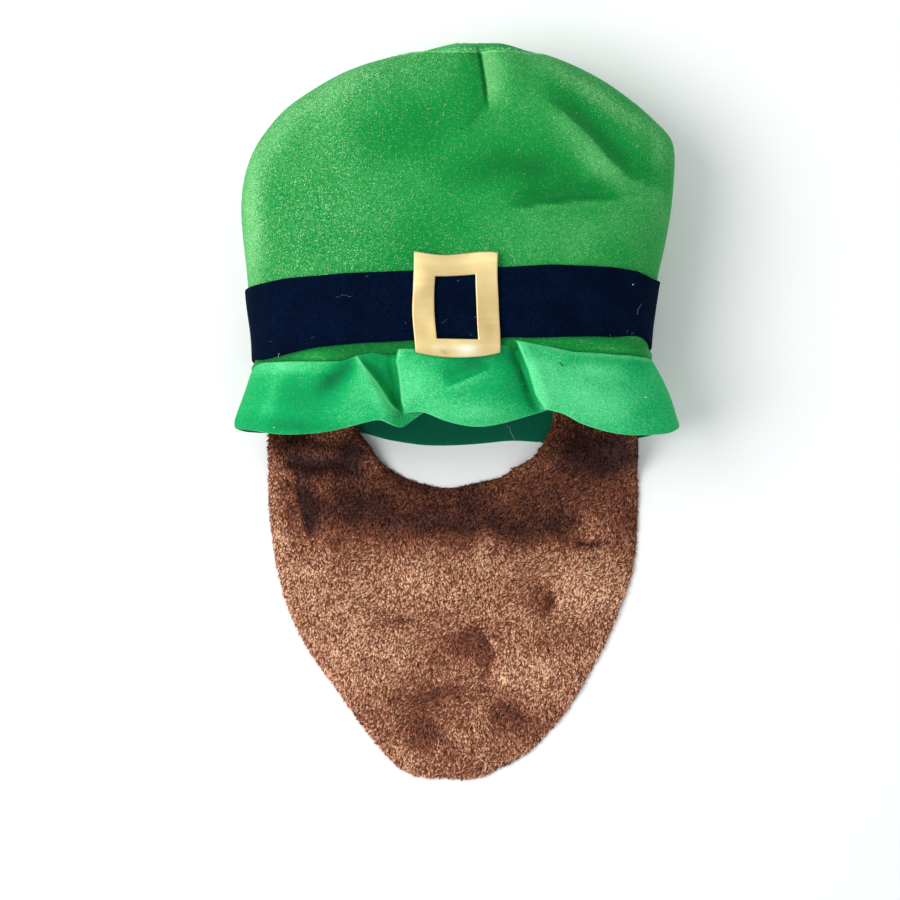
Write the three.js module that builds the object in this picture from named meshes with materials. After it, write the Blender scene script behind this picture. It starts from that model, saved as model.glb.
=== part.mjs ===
// A costume leprechaun hat with a plush beard, lying on its back as it falls on a table.
// Millimetres. +X is to the right as seen from above, +Y points to the top of the crown and
// +Z up from the table. Every piece is a closed shell with an outer and an inner face.

import * as THREE from 'three';

// Crown: a foam-backed velour tube that lies squashed to an oval
const CROWN_LENGTH = 189;
const CROWN_HALF_WIDTH = 134;
const CROWN_HEIGHT = 119;
const CROWN_WALL = 3;
const CROWN_COLUMNS = 56;
const AXIS_HEIGHT_SHARE = 0.45;
const FLOOR_PRESS = 5;
const HEM_TILT = 5;
const HEM_ARCH = 7;

// Top disc sewn into the far end of the crown
const TOP_WALL = 3;
const TOP_DOME = 3;
const TOP_EDGE_SHARE = 0.6;

// Felt band round the crown
const BAND_WIDTH = 41;
const BAND_WALL = 2;
const BAND_FROM_HEM = 8;
const BAND_COLUMNS = 56;

// Square vinyl buckle with a window, lying on the band
const BUCKLE_WIDTH = 50;
const BUCKLE_HEIGHT = 58.5;
const BUCKLE_RAIL = 13;
const BUCKLE_LOW_RAIL = 9;
const BUCKLE_BOW = 3.3;
const BUCKLE_SHEET = 1.2;
const BUCKLE_ACROSS = 3.8;
const BUCKLE_LIFT = 0.4;

// Padded brim, a double-layer ring sewn to the hem of the crown
const BRIM_WIDTH = 50;
const BRIM_HALF_WIDTH = 134;
const BRIM_PAD = 4;
const BRIM_BULGE = 3;

// Plush beard, a flat sheet whose two straps are sewn inside the hem
const BEARD_LENGTH = 260;
const BEARD_HALF_WIDTH = 119;
const BEARD_PILE = 4.5;
const BEARD_FOLD = 5;
const BEARD_EDGE_SHARE = 0.45;
const BEARD_SEAT_GAP = 0.9;
const FOLD_ROOT_SHARE = 0.2;

// Gap kept between neighbouring pieces
const GAP = 0.3;

const AXIS_HEIGHT = CROWN_HEIGHT * AXIS_HEIGHT_SHARE;

// Crown sections from the hem to the top seam. Shares of the crown's length, half width and height;
// round and flat are the powers of the upper and lower half of the section.
const CROWN_SECTIONS = table(
  ['along', 'left', 'right', 'low', 'high', 'round', 'flat'],
  [
    [0.00, 0.895, 0.905, 0.00, 0.98, 2.4, 3.6],
    [0.14, 0.903, 0.920, 0.00, 0.99, 2.4, 3.4],
    [0.28, 0.925, 0.960, 0.00, 1.00, 2.4, 3.1],
    [0.34, 0.937, 0.982, 0.00, 1.00, 2.4, 3.0],
    [0.42, 0.954, 1.004, 0.00, 1.00, 2.4, 2.9],
    [0.52, 0.971, 1.022, 0.00, 1.00, 2.3, 2.8],
    [0.64, 0.945, 1.042, 0.00, 0.985, 2.3, 2.8],
    [0.72, 0.900, 1.038, 0.00, 0.960, 2.2, 2.7],
    [0.76, 0.862, 1.004, 0.00, 0.945, 2.2, 2.6],
    [0.80, 0.818, 0.945, 0.00, 0.930, 2.2, 2.5],
    [0.84, 0.765, 0.884, 0.01, 0.915, 2.2, 2.4],
    [0.88, 0.690, 0.816, 0.02, 0.895, 2.2, 2.3],
    [0.92, 0.610, 0.740, 0.04, 0.875, 2.2, 2.3],
    [0.955, 0.515, 0.650, 0.075, 0.850, 2.2, 2.2],
    [0.98, 0.425, 0.575, 0.11, 0.830, 2.2, 2.2],
    [1.00, 0.310, 0.490, 0.15, 0.810, 2.2, 2.2],
  ],
);

// Creases in the upper face of the crown: a dart, a slumped shoulder and a sag line.
// Ends in shares of the half width and length, depth and reach in shares of the height;
// a shoulder falls away on its far side, a crease is a valley.
const CROWN_CREASES = table(
  ['fromX', 'fromY', 'toX', 'toY', 'depth', 'reach', 'shoulder'],
  [
    [0.13, 1.00, 0.165, 0.80, 0.045, 0.05, 0],
    [0.27, 0.49, 0.97, 0.53, 0.030, 0.10, 0],
    [0.50, 0.80, 0.98, 0.53, 0.090, 0.20, 1],
  ],
);

// Front half of the brim from left to right. seam and hem are places across, in shares of the
// brim's half width; height is that of the hem in shares of the crown's height, reach how far the
// hem hangs below the seam in shares of the brim's width, and quick is 1 in the two folds, which
// open fast below the seam.
const BRIM_FRONT = table(
  ['seam', 'hem', 'height', 'reach', 'quick'],
  [
    [-0.885, -0.974, 0.571, 0.75, 0],
    [-0.855, -0.903, 0.672, 0.78, 0],
    [-0.769, -0.784, 0.756, 0.83, 0],
    [-0.634, -0.602, 0.824, 0.82, 0],
    [-0.522, -0.440, 0.866, 0.73, 0],
    [-0.448, -0.321, 0.891, 0.65, 0],
    [-0.403, -0.269, 0.866, 0.70, 0],
    [-0.343, -0.216, 0.824, 0.75, 1],
    [-0.291, -0.170, 0.798, 0.67, 1],
    [-0.246, -0.113, 0.790, 0.56, 1],
    [-0.235, -0.101, 0.819, 0.54, 1],
    [-0.228, -0.134, 0.853, 0.54, 1],
    [-0.220, -0.194, 0.878, 0.58, 1],
    [-0.201, -0.172, 0.912, 0.57, 1],
    [-0.149, -0.112, 0.920, 0.57, 0],
    [-0.037, -0.022, 0.916, 0.68, 0],
    [0.075, 0.097, 0.908, 0.75, 0],
    [0.172, 0.224, 0.891, 0.72, 0],
    [0.246, 0.378, 0.849, 0.61, 1],
    [0.272, 0.452, 0.819, 0.54, 1],
    [0.282, 0.489, 0.836, 0.50, 1],
    [0.290, 0.455, 0.866, 0.50, 1],
    [0.299, 0.415, 0.891, 0.54, 1],
    [0.321, 0.444, 0.920, 0.56, 1],
    [0.388, 0.515, 0.916, 0.61, 0],
    [0.493, 0.601, 0.891, 0.72, 0],
    [0.672, 0.754, 0.832, 0.82, 0],
    [0.799, 0.888, 0.756, 0.83, 0],
    [0.860, 0.989, 0.664, 0.81, 0],
    [0.893, 1.045, 0.555, 0.75, 0],
  ],
);

// Sides and back of the brim from right to left, by the angle round the hem. flare is the half
// width of its hem in shares of the brim's half width.
const BRIM_BACK = table(
  ['angle', 'flare', 'reach'],
  [
    [0, 0.975, 0.80],
    [-20, 0.96, 0.84],
    [-45, 0.95, 0.90],
    [-65, 0.95, 0.93],
    [-77, 0.95, 0.92],
    [-84, 0.95, 0.90],
    [-90, 0.95, 0.97],
    [-93, 0.95, 0.94],
    [-98, 0.95, 0.88],
    [-104, 0.95, 0.79],
    [-115, 0.95, 0.77],
    [-140, 0.95, 0.80],
    [-160, 0.94, 0.82],
    [-180, 0.94, 0.80],
  ],
);

// Rows of the brim from seam to hem, and how much of its padding each row has
const BRIM_ROWS = table(
  ['down', 'pad'],
  [
    [0.00, 0.75],
    [0.12, 1.00],
    [0.28, 1.00],
    [0.48, 1.00],
    [0.68, 1.00],
    [0.88, 0.95],
    [0.97, 0.75],
    [1.00, 0.30],
  ],
);

// The beard as a horseshoe round the face opening, from the left strap to the right one.
// Places across in shares of its half width, along in shares of its length from the hem.
const BEARD_EDGES = table(
  ['innerX', 'innerY', 'outerX', 'outerY'],
  [
    [-0.52, 0.019, -0.89, 0.019],
    [-0.51, -0.042, -0.92, -0.042],
    [-0.50, -0.100, -0.955, -0.112],
    [-0.49, -0.152, -0.965, -0.177],
    [-0.43, -0.182, -0.97, -0.250],
    [-0.39, -0.215, -0.97, -0.327],
    [-0.32, -0.245, -0.95, -0.419],
    [-0.26, -0.262, -0.90, -0.535],
    [-0.20, -0.273, -0.79, -0.662],
    [-0.13, -0.282, -0.61, -0.781],
    [-0.08, -0.287, -0.40, -0.912],
    [-0.03, -0.290, -0.24, -0.988],
    [0.01, -0.290, -0.04, -1.000],
    [0.06, -0.286, 0.15, -1.002],
    [0.11, -0.281, 0.26, -0.977],
    [0.17, -0.274, 0.40, -0.945],
    [0.23, -0.269, 0.51, -0.896],
    [0.29, -0.260, 0.66, -0.812],
    [0.34, -0.242, 0.81, -0.692],
    [0.40, -0.227, 0.92, -0.573],
    [0.45, -0.212, 0.985, -0.485],
    [0.48, -0.192, 1.005, -0.381],
    [0.51, -0.172, 1.01, -0.292],
    [0.54, -0.146, 1.00, -0.212],
    [0.56, -0.112, 0.99, -0.150],
    [0.57, -0.050, 0.95, -0.065],
    [0.57, 0.019, 0.91, 0.019],
  ],
);

// Soft folds of the beard off the table: a middle and a spread in shares of its half width and
// length, a turn in degrees and a height in shares of its fold height
const BEARD_FOLDS = table(
  ['x', 'y', 'spreadX', 'spreadY', 'turn', 'height'],
  [
    [-0.72, -0.30, 0.10, 0.16, -8, 0.8],
    [0.66, -0.22, 0.16, 0.10, 20, 0.8],
    [0.10, -0.45, 0.55, 0.10, 5, 0.6],
    [0.45, -0.62, 0.12, 0.16, -30, 0.7],
    [-0.35, -0.70, 0.14, 0.14, 25, 0.7],
    [0.14, -0.86, 0.16, 0.07, -20, 0.6],
  ],
);

function table(names, rows) {
  return rows.map((row) => Object.fromEntries(names.map((name, i) => [name, row[i]])));
}

// Smooth value of one column of a table at a place in its key column
function sample(rows, key, column, at) {
  const last = rows.length - 1;
  const i = Math.min(last - 1, Math.max(0, rows.findIndex((row) => row[key] > at) - 1));
  const k = at >= rows[last][key] ? last - 1 : i;
  const slope = (n) => {
    const before = rows[Math.max(0, n - 1)];
    const after = rows[Math.min(last, n + 1)];
    return (after[column] - before[column]) / (after[key] - before[key]);
  };
  const span = rows[k + 1][key] - rows[k][key];
  const t = THREE.MathUtils.clamp((at - rows[k][key]) / span, 0, 1);
  const start = rows[k][column];
  const end = rows[k + 1][column];
  const startPull = slope(k) * span;
  const endPull = slope(k + 1) * span;
  const bend = t * t * (3 - 2 * t);
  return start + (end - start) * bend + startPull * t * (1 - t) ** 2 - endPull * t * t * (1 - t);
}

// The table's rows with smooth rows put between them
function refine(rows, steps) {
  const numbered = rows.map((row, index) => ({ ...row, index }));
  const columns = Object.keys(rows[0]);
  const count = (rows.length - 1) * steps;
  return Array.from({ length: count + 1 }, (_, i) => Object.fromEntries(
    columns.map((column) => [column, sample(numbered, 'index', column, i / steps)]),
  ));
}

function smooth(low, high, value) {
  return THREE.MathUtils.smoothstep(value, low, high);
}

// Signed power, for the superellipse sections
function power(value, exponent) {
  return Math.sign(value) * Math.abs(value) ** exponent;
}

// Closed shell between two grids of points, rows by columns. A ring's columns join up.
function shell(outer, inner, ring) {
  const rows = outer.length;
  const columns = outer[0].length;
  const positions = [];
  for (const grid of [outer, inner]) {
    for (const row of grid) {
      for (const point of row) positions.push(point.x, point.y, point.z);
    }
  }
  const at = (side, row, column) => (side * rows + row) * columns + (column % columns);
  const index = [];
  const quad = (a, b, c, d) => index.push(a, b, c, a, c, d);
  const spans = ring ? columns : columns - 1;
  for (let i = 0; i < rows - 1; i += 1) {
    for (let j = 0; j < spans; j += 1) {
      quad(at(0, i, j), at(0, i, j + 1), at(0, i + 1, j + 1), at(0, i + 1, j));
      quad(at(1, i, j), at(1, i + 1, j), at(1, i + 1, j + 1), at(1, i, j + 1));
    }
  }
  for (let j = 0; j < spans; j += 1) {
    quad(at(0, 0, j + 1), at(0, 0, j), at(1, 0, j), at(1, 0, j + 1));
    quad(at(0, rows - 1, j), at(0, rows - 1, j + 1), at(1, rows - 1, j + 1), at(1, rows - 1, j));
  }
  if (!ring) {
    const end = columns - 1;
    for (let i = 0; i < rows - 1; i += 1) {
      quad(at(0, i, 0), at(0, i + 1, 0), at(1, i + 1, 0), at(1, i, 0));
      quad(at(0, i + 1, end), at(0, i, end), at(1, i, end), at(1, i + 1, end));
    }
  }
  return body(positions, index);
}

// Geometry with its faces pointing out
function body(positions, index) {
  const geometry = new THREE.BufferGeometry();
  geometry.setAttribute('position', new THREE.Float32BufferAttribute(positions, 3));
  geometry.setIndex(volume(positions, index) < 0 ? flipped(index) : index);
  return geometry;
}

function volume(positions, index) {
  const point = (i) => new THREE.Vector3().fromArray(positions, 3 * i);
  let sum = 0;
  for (let i = 0; i < index.length; i += 3) {
    sum += point(index[i]).dot(point(index[i + 1]).cross(point(index[i + 2])));
  }
  return sum;
}

function flipped(index) {
  const turned = [];
  for (let i = 0; i < index.length; i += 3) turned.push(index[i], index[i + 2], index[i + 1]);
  return turned;
}

// Unit normals of a ring of points in rows and columns
function ringNormals(grid) {
  const rows = grid.length;
  const columns = grid[0].length;
  return grid.map((row, i) => row.map((_, j) => {
    const up = grid[Math.min(rows - 1, i + 1)][j].clone().sub(grid[Math.max(0, i - 1)][j]);
    const next = grid[i][(j + 1) % columns];
    const along = next.clone().sub(grid[i][(j + columns - 1) % columns]);
    return up.cross(along).normalize();
  }));
}

// How far a point lies along and beside a line, both as lengths
function besideLine(x, y, crease) {
  const from = new THREE.Vector2(crease.fromX * CROWN_HALF_WIDTH, crease.fromY * CROWN_LENGTH);
  const to = new THREE.Vector2(crease.toX * CROWN_HALF_WIDTH, crease.toY * CROWN_LENGTH);
  const line = to.sub(from);
  const length = line.length();
  line.normalize();
  const offset = new THREE.Vector2(x, y).sub(from);
  return { along: offset.dot(line) / length, beside: offset.x * -line.y + offset.y * line.x };
}

// How much the creases lower the upper face of the crown at a place
function creaseDepth(x, y) {
  let depth = 0;
  for (const crease of CROWN_CREASES) {
    const { along, beside } = besideLine(x, y, crease);
    const reach = crease.reach * CROWN_HEIGHT;
    const fade = smooth(-0.25, 0.15, along) * (1 - smooth(0.9, 1.3, along));
    const valley = Math.exp(-((beside / reach) ** 2));
    const fall = smooth(0, 2.4 * reach, beside);
    depth += crease.depth * CROWN_HEIGHT * fade * (crease.shoulder ? fall : valley);
  }
  return depth;
}

// Point on the outside of the crown: angle round it (0 right, 90 front, -90 back), share along it
function crownOutside(angle, share) {
  const section = (column) => sample(CROWN_SECTIONS, 'along', column, share);
  const cos = Math.cos(angle);
  const sin = Math.sin(angle);
  const half = CROWN_HALF_WIDTH * section(cos > 0 ? 'right' : 'left');
  const upper = sin > 0;
  const exponent = 2 / section(upper ? 'round' : 'flat');
  const low = section('low') * CROWN_HEIGHT;
  const press = low > 0 ? 0 : FLOOR_PRESS;
  const rise = upper ? section('high') * CROWN_HEIGHT - AXIS_HEIGHT : AXIS_HEIGHT - low + press;
  const x = half * power(cos, exponent);
  let z = AXIS_HEIGHT + rise * power(sin, exponent);
  const level = (z - AXIS_HEIGHT) / (CROWN_HEIGHT - AXIS_HEIGHT);
  const slant = (1 - share) ** 2 * (HEM_TILT * x / CROWN_HALF_WIDTH + HEM_ARCH * level);
  const y = share * CROWN_LENGTH + slant;
  if (upper) z -= creaseDepth(x, y) * smooth(0.2, 0.7, level);
  return new THREE.Vector3(x, y, Math.max(z, bandSeat(share)));
}

// Height at which the back of the crown lies: on the table, and on the band where that runs under it
function bandSeat(share) {
  const past = share * CROWN_LENGTH - BAND_FROM_HEM - BAND_WIDTH;
  return (BAND_WALL + GAP) * (1 - smooth(0.05 * BAND_WIDTH, 0.35 * BAND_WIDTH, past));
}

// Outward normal of the crown at a place
function crownNormal(angle, share) {
  const step = 0.004;
  const around = crownOutside(angle + step, share).sub(crownOutside(angle - step, share));
  const before = crownOutside(angle, Math.max(0, share - step));
  const along = crownOutside(angle, Math.min(1, share + step)).sub(before);
  return along.cross(around).normalize();
}

// Point off the crown's outside by a length along its normal, or straight down where it lies flat
function offCrown(angle, share, length) {
  const point = crownOutside(angle, share);
  const seat = bandSeat(share);
  if (point.z > seat) return point.addScaledVector(crownNormal(angle, share), length);
  point.z = Math.max(0, seat - length);
  return point;
}

function ringAngles(columns) {
  return Array.from({ length: columns }, (_, i) => (2 * Math.PI * i) / columns);
}

// Angle round the upper half of the crown at a place across it
function crownAngle(x, share) {
  const side = sample(CROWN_SECTIONS, 'along', x > 0 ? 'right' : 'left', share);
  const place = THREE.MathUtils.clamp(x / (CROWN_HALF_WIDTH * side), -1, 1);
  return Math.acos(power(place, sample(CROWN_SECTIONS, 'along', 'round', share) / 2));
}

function crownSide() {
  const angles = ringAngles(CROWN_COLUMNS);
  const shares = CROWN_SECTIONS.map((section) => section.along);
  const layer = (depth) => shares.map((share) => angles.map((a) => offCrown(a, share, -depth)));
  const inner = layer(CROWN_WALL);
  inner[0].forEach((point, i) => { point.y = crownOutside(angles[i], 0).y; });
  return shell(layer(0), inner, true);
}

// Domed disc beyond the top seam, sewn to the end of the tube
function crownTop() {
  const rings = [0.02, 0.5, 0.9, 1];
  const edge = ringAngles(CROWN_COLUMNS).map((angle) => crownOutside(angle, 1));
  const middle = edge.reduce((sum, p) => sum.add(p), new THREE.Vector3()).divideScalar(edge.length);
  const place = (point, ring, wall) => {
    const spot = middle.clone().lerp(point, ring);
    spot.y = CROWN_LENGTH + GAP + TOP_DOME * (1 - ring * ring) + wall * (ring < 1 ? 1 : TOP_EDGE_SHARE);
    return spot;
  };
  const face = (wall) => rings.map((ring) => edge.map((point) => place(point, ring, wall)));
  return disc([...face(TOP_WALL), ...face(0).reverse()], middle);
}

// Body of closed rings, its first and last rings closed on a point in their middle
function disc(rings, middle) {
  const columns = rings[0].length;
  const ends = [rings[0], rings[rings.length - 1]];
  const points = [...rings.flat(), ...ends.map((ring) => middle.clone().setY(ring[0].y))];
  const index = [];
  for (let j = 0; j < columns; j += 1) {
    const k = (j + 1) % columns;
    for (let i = 0; i < rings.length - 1; i += 1) {
      const [a, b, c, d] = [i, i, i + 1, i + 1].map((row, n) => row * columns + [j, k, k, j][n]);
      index.push(a, b, c, a, c, d);
    }
    const base = (rings.length - 1) * columns;
    index.push(k, j, rings.length * columns);
    index.push(base + j, base + k, rings.length * columns + 1);
  }
  return body(points.flatMap((point) => point.toArray()), index);
}

function hatBand() {
  const angles = ringAngles(BAND_COLUMNS);
  const start = BAND_FROM_HEM / CROWN_LENGTH;
  const end = (BAND_FROM_HEM + BAND_WIDTH) / CROWN_LENGTH;
  const shares = [0, 0.5, 1].map((t) => THREE.MathUtils.lerp(start, end, t));
  const layer = (off) => shares.map((share) => angles.map((a) => offCrown(a, share, off)));
  return shell(layer(GAP + BAND_WALL), layer(GAP), true);
}

// Sheet that bends with the band, with a window in it. Its lower rail is narrower and bows down.
function buckle() {
  const steps = 8;
  const outline = [];
  const corners = [[1, 1], [-1, 1], [-1, -1], [1, -1]];
  corners.forEach(([x, y], i) => {
    const [nextX, nextY] = corners[(i + 1) % corners.length];
    for (let k = 0; k < steps; k += 1) {
      const t = k / steps;
      outline.push([x + (nextX - x) * t, y + (nextY - y) * t]);
    }
  });
  const centre = BAND_FROM_HEM + BAND_WIDTH / 2 + HEM_ARCH;
  const rows = [0, 0.5, 1];
  const layer = (height) => rows.map((row) => outline.map(([x, y]) => {
    const width = BUCKLE_WIDTH / 2 - BUCKLE_RAIL * (1 - row);
    const low = BUCKLE_LOW_RAIL * (1 - row) - BUCKLE_HEIGHT / 2;
    const high = BUCKLE_HEIGHT / 2 - BUCKLE_RAIL * (1 - row);
    const bow = BUCKLE_BOW * row * (1 - x * x) * (1 - y) / 2;
    const along = THREE.MathUtils.lerp(low, high, (y + 1) / 2) - bow;
    return buckleSurface(BUCKLE_ACROSS + x * width, centre + along, height);
  }));
  return shell(layer(BUCKLE_SHEET), layer(0), true);
}

// Height of the buckle: it lies over the band and the highest part of the crown that it spans
function buckleSurface(x, y, height) {
  const shares = [-0.5, 0, 0.5].map((t) => (y + t * BAND_FROM_HEM) / CROWN_LENGTH);
  const heights = shares.map((share) => {
    const angle = crownAngle(x, Math.max(0, share));
    return offCrown(angle, Math.max(0, share), GAP + BAND_WALL).z;
  });
  return new THREE.Vector3(x, y, Math.max(...heights) + GAP + BUCKLE_LIFT + height);
}

// Rows of the brim: middle of its padding, from the seam to the hem
function brimRows() {
  const front = refine(BRIM_FRONT, 3).map((row) => {
    const angle = crownAngle(row.seam * BRIM_HALF_WIDTH, 0);
    const hem = new THREE.Vector3(
      row.hem * BRIM_HALF_WIDTH,
      -row.reach * BRIM_WIDTH,
      row.height * CROWN_HEIGHT,
    );
    return { angle, hem, quick: row.quick, front: true };
  });
  const back = refine(BRIM_BACK, 2).map((row) => {
    const angle = THREE.MathUtils.degToRad(row.angle);
    const flat = CROWN_SECTIONS[0].flat;
    const x = row.flare * BRIM_HALF_WIDTH * power(Math.cos(angle), 2 / flat);
    const drop = (AXIS_HEIGHT + FLOOR_PRESS) * power(-Math.sin(angle), 2 / flat);
    const z = Math.max(AXIS_HEIGHT - drop, BRIM_PAD / 2);
    const hem = new THREE.Vector3(x, -row.reach * BRIM_WIDTH, z);
    return { angle, hem, quick: 0, front: false };
  });
  return [...front, ...back];
}

function brimMiddle(column, down) {
  const seam = offCrown(column.angle, 0, -BRIM_PAD / 2);
  seam.y = crownOutside(column.angle, 0).y - GAP;
  seam.z = Math.max(seam.z, BRIM_PAD / 2);
  const opened = 1 - (1 - down) ** 3;
  const fall = THREE.MathUtils.lerp(column.front ? down * down : down, opened, column.quick);
  return new THREE.Vector3(
    THREE.MathUtils.lerp(seam.x, column.hem.x, down),
    THREE.MathUtils.lerp(seam.y, column.hem.y, down),
    THREE.MathUtils.lerp(seam.z, column.hem.z, fall) + brimBulge(column, down),
  );
}

// The front of the brim rolls up a little below its seam before it droops
function brimBulge(column, down) {
  const roll = Math.sin(Math.PI * down) ** 2;
  return column.front ? BRIM_BULGE * roll * Math.sin(column.angle) : 0;
}

function brim() {
  const columns = brimRows();
  const grid = BRIM_ROWS.map((row) => columns.map((column) => brimMiddle(column, row.down)));
  const normals = ringNormals(grid);
  const layer = (side) => grid.map((row, i) => row.map((point, j) => {
    const reach = side * (BRIM_PAD / 2) * BRIM_ROWS[i].pad;
    const normal = normals[i][j].clone();
    if (i === 0) normal.y = 0;
    const place = point.clone().addScaledVector(normal.normalize(), reach);
    place.z = Math.max(0, place.z);
    return place;
  }));
  return shell(layer(1), layer(-1), true);
}

// Height of the inner face of the crown and brim above the table, at a place
function cradle(x, y) {
  const hem = CROWN_SECTIONS[0];
  const spread = smooth(-BRIM_WIDTH, 0, y);
  const brimHalf = BRIM_HALF_WIDTH * BRIM_BACK[2].flare;
  const half = THREE.MathUtils.lerp(brimHalf, CROWN_HALF_WIDTH * hem.left, spread) - BRIM_PAD;
  const share = Math.min(1, Math.abs(x) / half);
  const drop = AXIS_HEIGHT + FLOOR_PRESS - BRIM_PAD;
  const wall = AXIS_HEIGHT - drop * (1 - share ** hem.flat) ** (1 / hem.flat);
  return Math.max(bandSeat(0) + BRIM_PAD, wall);
}

// Underside of the beard: on the table, over the back of the brim, then up into the crown
function beardUnderside(x, y) {
  const rise = smooth(-BRIM_WIDTH * 1.35, -BRIM_WIDTH * 0.95, y);
  const seat = cradle(x, y) + BEARD_SEAT_GAP;
  return rise * seat + (1 - rise) * beardFold(x, y);
}

function beardFold(x, y) {
  let height = 0;
  for (const fold of BEARD_FOLDS) {
    const turn = THREE.MathUtils.degToRad(fold.turn);
    const dx = x / BEARD_HALF_WIDTH - fold.x;
    const dy = (y / BEARD_LENGTH - fold.y) * (BEARD_LENGTH / BEARD_HALF_WIDTH);
    const u = (dx * Math.cos(turn) + dy * Math.sin(turn)) / fold.spreadX;
    const v = (dy * Math.cos(turn) - dx * Math.sin(turn)) / fold.spreadY;
    height += fold.height * BEARD_FOLD * Math.exp(-u * u - v * v);
  }
  const onTable = BEARD_FOLD * FOLD_ROOT_SHARE;
  return Math.max(0, height - onTable);
}

function beard() {
  const columns = refine(BEARD_EDGES, 2);
  const rows = [0, 0.04, 0.14, 0.3, 0.46, 0.62, 0.78, 0.9, 0.975, 1];
  const layer = (top) => rows.map((t) => columns.map((edge) => {
    const x = THREE.MathUtils.lerp(edge.innerX, edge.outerX, t) * BEARD_HALF_WIDTH;
    const y = THREE.MathUtils.lerp(edge.innerY, edge.outerY, t) * BEARD_LENGTH;
    const inside = smooth(0, 0.05, Math.min(t, 1 - t));
    const rounding = THREE.MathUtils.lerp(BEARD_EDGE_SHARE, 1, inside);
    const pile = top ? BEARD_PILE * rounding : 0;
    return new THREE.Vector3(x, y, beardUnderside(x, y) + pile);
  }));
  return shell(layer(true), layer(false), false);
}

function piece(name, geometry, color, roughness, metalness = 0) {
  geometry.computeVertexNormals();
  const material = new THREE.MeshStandardMaterial({ color, roughness, metalness });
  const mesh = new THREE.Mesh(geometry, material);
  mesh.name = name;
  return mesh;
}

const hat = new THREE.Group();
hat.add(piece('crown_side', crownSide(), 0x2fa04c, 0.9));
hat.add(piece('crown_top', crownTop(), 0x1f8f43, 0.9));
hat.add(piece('hat_band', hatBand(), 0x06172c, 0.95));
hat.add(piece('buckle', buckle(), 0xe4d094, 0.35, 0.6));
hat.add(piece('brim', brim(), 0x28b76d, 0.9));
hat.add(piece('beard', beard(), 0xa06a52, 1));

// The origin is the middle of the footprint, on the table
const box = new THREE.Box3().setFromObject(hat);
const middle = box.getCenter(new THREE.Vector3());
hat.position.set(-middle.x, -middle.y, -box.min.z);

export default hat;
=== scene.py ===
"""Looks of a costume leprechaun hat with a plush beard, lying on its back and seen from above.

Lengths are in metres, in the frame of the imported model: +X is to the right as seen from above,
+Y points to the top of the crown and +Z up from the table.
"""

import math

import bmesh
import bpy
import numpy as np
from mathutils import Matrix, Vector, noise
from mathutils.bvhtree import BVHTree


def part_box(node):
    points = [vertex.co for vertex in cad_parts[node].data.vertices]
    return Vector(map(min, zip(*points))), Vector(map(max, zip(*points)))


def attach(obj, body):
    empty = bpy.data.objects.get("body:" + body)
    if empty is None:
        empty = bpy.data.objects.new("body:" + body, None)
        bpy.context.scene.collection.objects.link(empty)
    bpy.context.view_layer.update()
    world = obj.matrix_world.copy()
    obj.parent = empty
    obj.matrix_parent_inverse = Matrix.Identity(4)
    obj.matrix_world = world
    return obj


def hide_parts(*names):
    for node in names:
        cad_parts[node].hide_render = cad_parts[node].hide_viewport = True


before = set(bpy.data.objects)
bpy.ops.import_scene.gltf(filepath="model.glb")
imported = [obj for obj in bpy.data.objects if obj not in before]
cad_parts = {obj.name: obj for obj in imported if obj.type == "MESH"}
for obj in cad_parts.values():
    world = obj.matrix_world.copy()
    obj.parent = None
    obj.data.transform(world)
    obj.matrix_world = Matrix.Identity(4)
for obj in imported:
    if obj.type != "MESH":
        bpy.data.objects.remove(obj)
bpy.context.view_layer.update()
MM = 0.001


# The hat lies on a pale table top under a soft sky, lit by a large window high at its left. The
# eye is straight above it, 1.5 m off the table, and the picture is as wide as 576 mm of table.
EYE = Vector((-0.00455, -0.01822, 1.5))
TABLE_SEEN = 0.576
SENSOR = 36.0

eye_data = bpy.data.cameras.new("eye")
eye_data.sensor_width = SENSOR
eye_data.lens = SENSOR * EYE.z / TABLE_SEEN
eye = bpy.data.objects.new("eye", eye_data)
eye.location = EYE
bpy.context.scene.collection.objects.link(eye)
bpy.context.scene.camera = eye
bpy.context.scene.view_settings.view_transform = "Standard"


def add(tree, kind, inputs=(), **settings):
    """New node of a tree; an input takes a value or another node's socket."""
    made = tree.nodes.new(kind)
    for name, value in settings.items():
        setattr(made, name, value)
    for name, value in dict(inputs).items():
        if isinstance(value, bpy.types.NodeSocket):
            tree.links.new(value, made.inputs[name])
        else:
            made.inputs[name].default_value = value
    return made


def material(name, **surface):
    """Material with one Principled shader, whose sockets take the values given."""
    made = bpy.data.materials.new(name)
    made.use_nodes = True
    shader = made.node_tree.nodes["Principled BSDF"]
    for socket, value in surface.items():
        shader.inputs[socket.replace("_", " ")].default_value = value
    return made, made.node_tree, shader


def colour(red, green, blue):
    """Linear colour of a shade given in 0 to 255."""
    return tuple((((c / 255) + 0.055) / 1.055) ** 2.4 for c in (red, green, blue)) + (1.0,)


table_mesh = bpy.data.meshes.new("table_top")
TABLE_HALF = 3.0
table_mesh.from_pydata(
    [(x * TABLE_HALF, y * TABLE_HALF, 0.0) for x, y in ((-1, -1), (1, -1), (1, 1), (-1, 1))],
    [], [(0, 1, 2, 3)])
table_top = bpy.data.objects.new("table_top", table_mesh)
bpy.context.scene.collection.objects.link(table_top)
table_paint, table_tree, table_shader = material("table_paint", Roughness=0.7)
table_spots = add(table_tree, "ShaderNodeTexNoise", {"Scale": 9.0, "Detail": 3.0})
table_ramp = add(table_tree, "ShaderNodeMix", {
    0: table_spots.outputs["Fac"], 6: colour(243, 243, 242), 7: colour(250, 250, 249)},
    data_type="RGBA")
table_tree.links.new(table_ramp.outputs[2], table_shader.inputs["Base Color"])
table_mesh.materials.append(table_paint)

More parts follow.
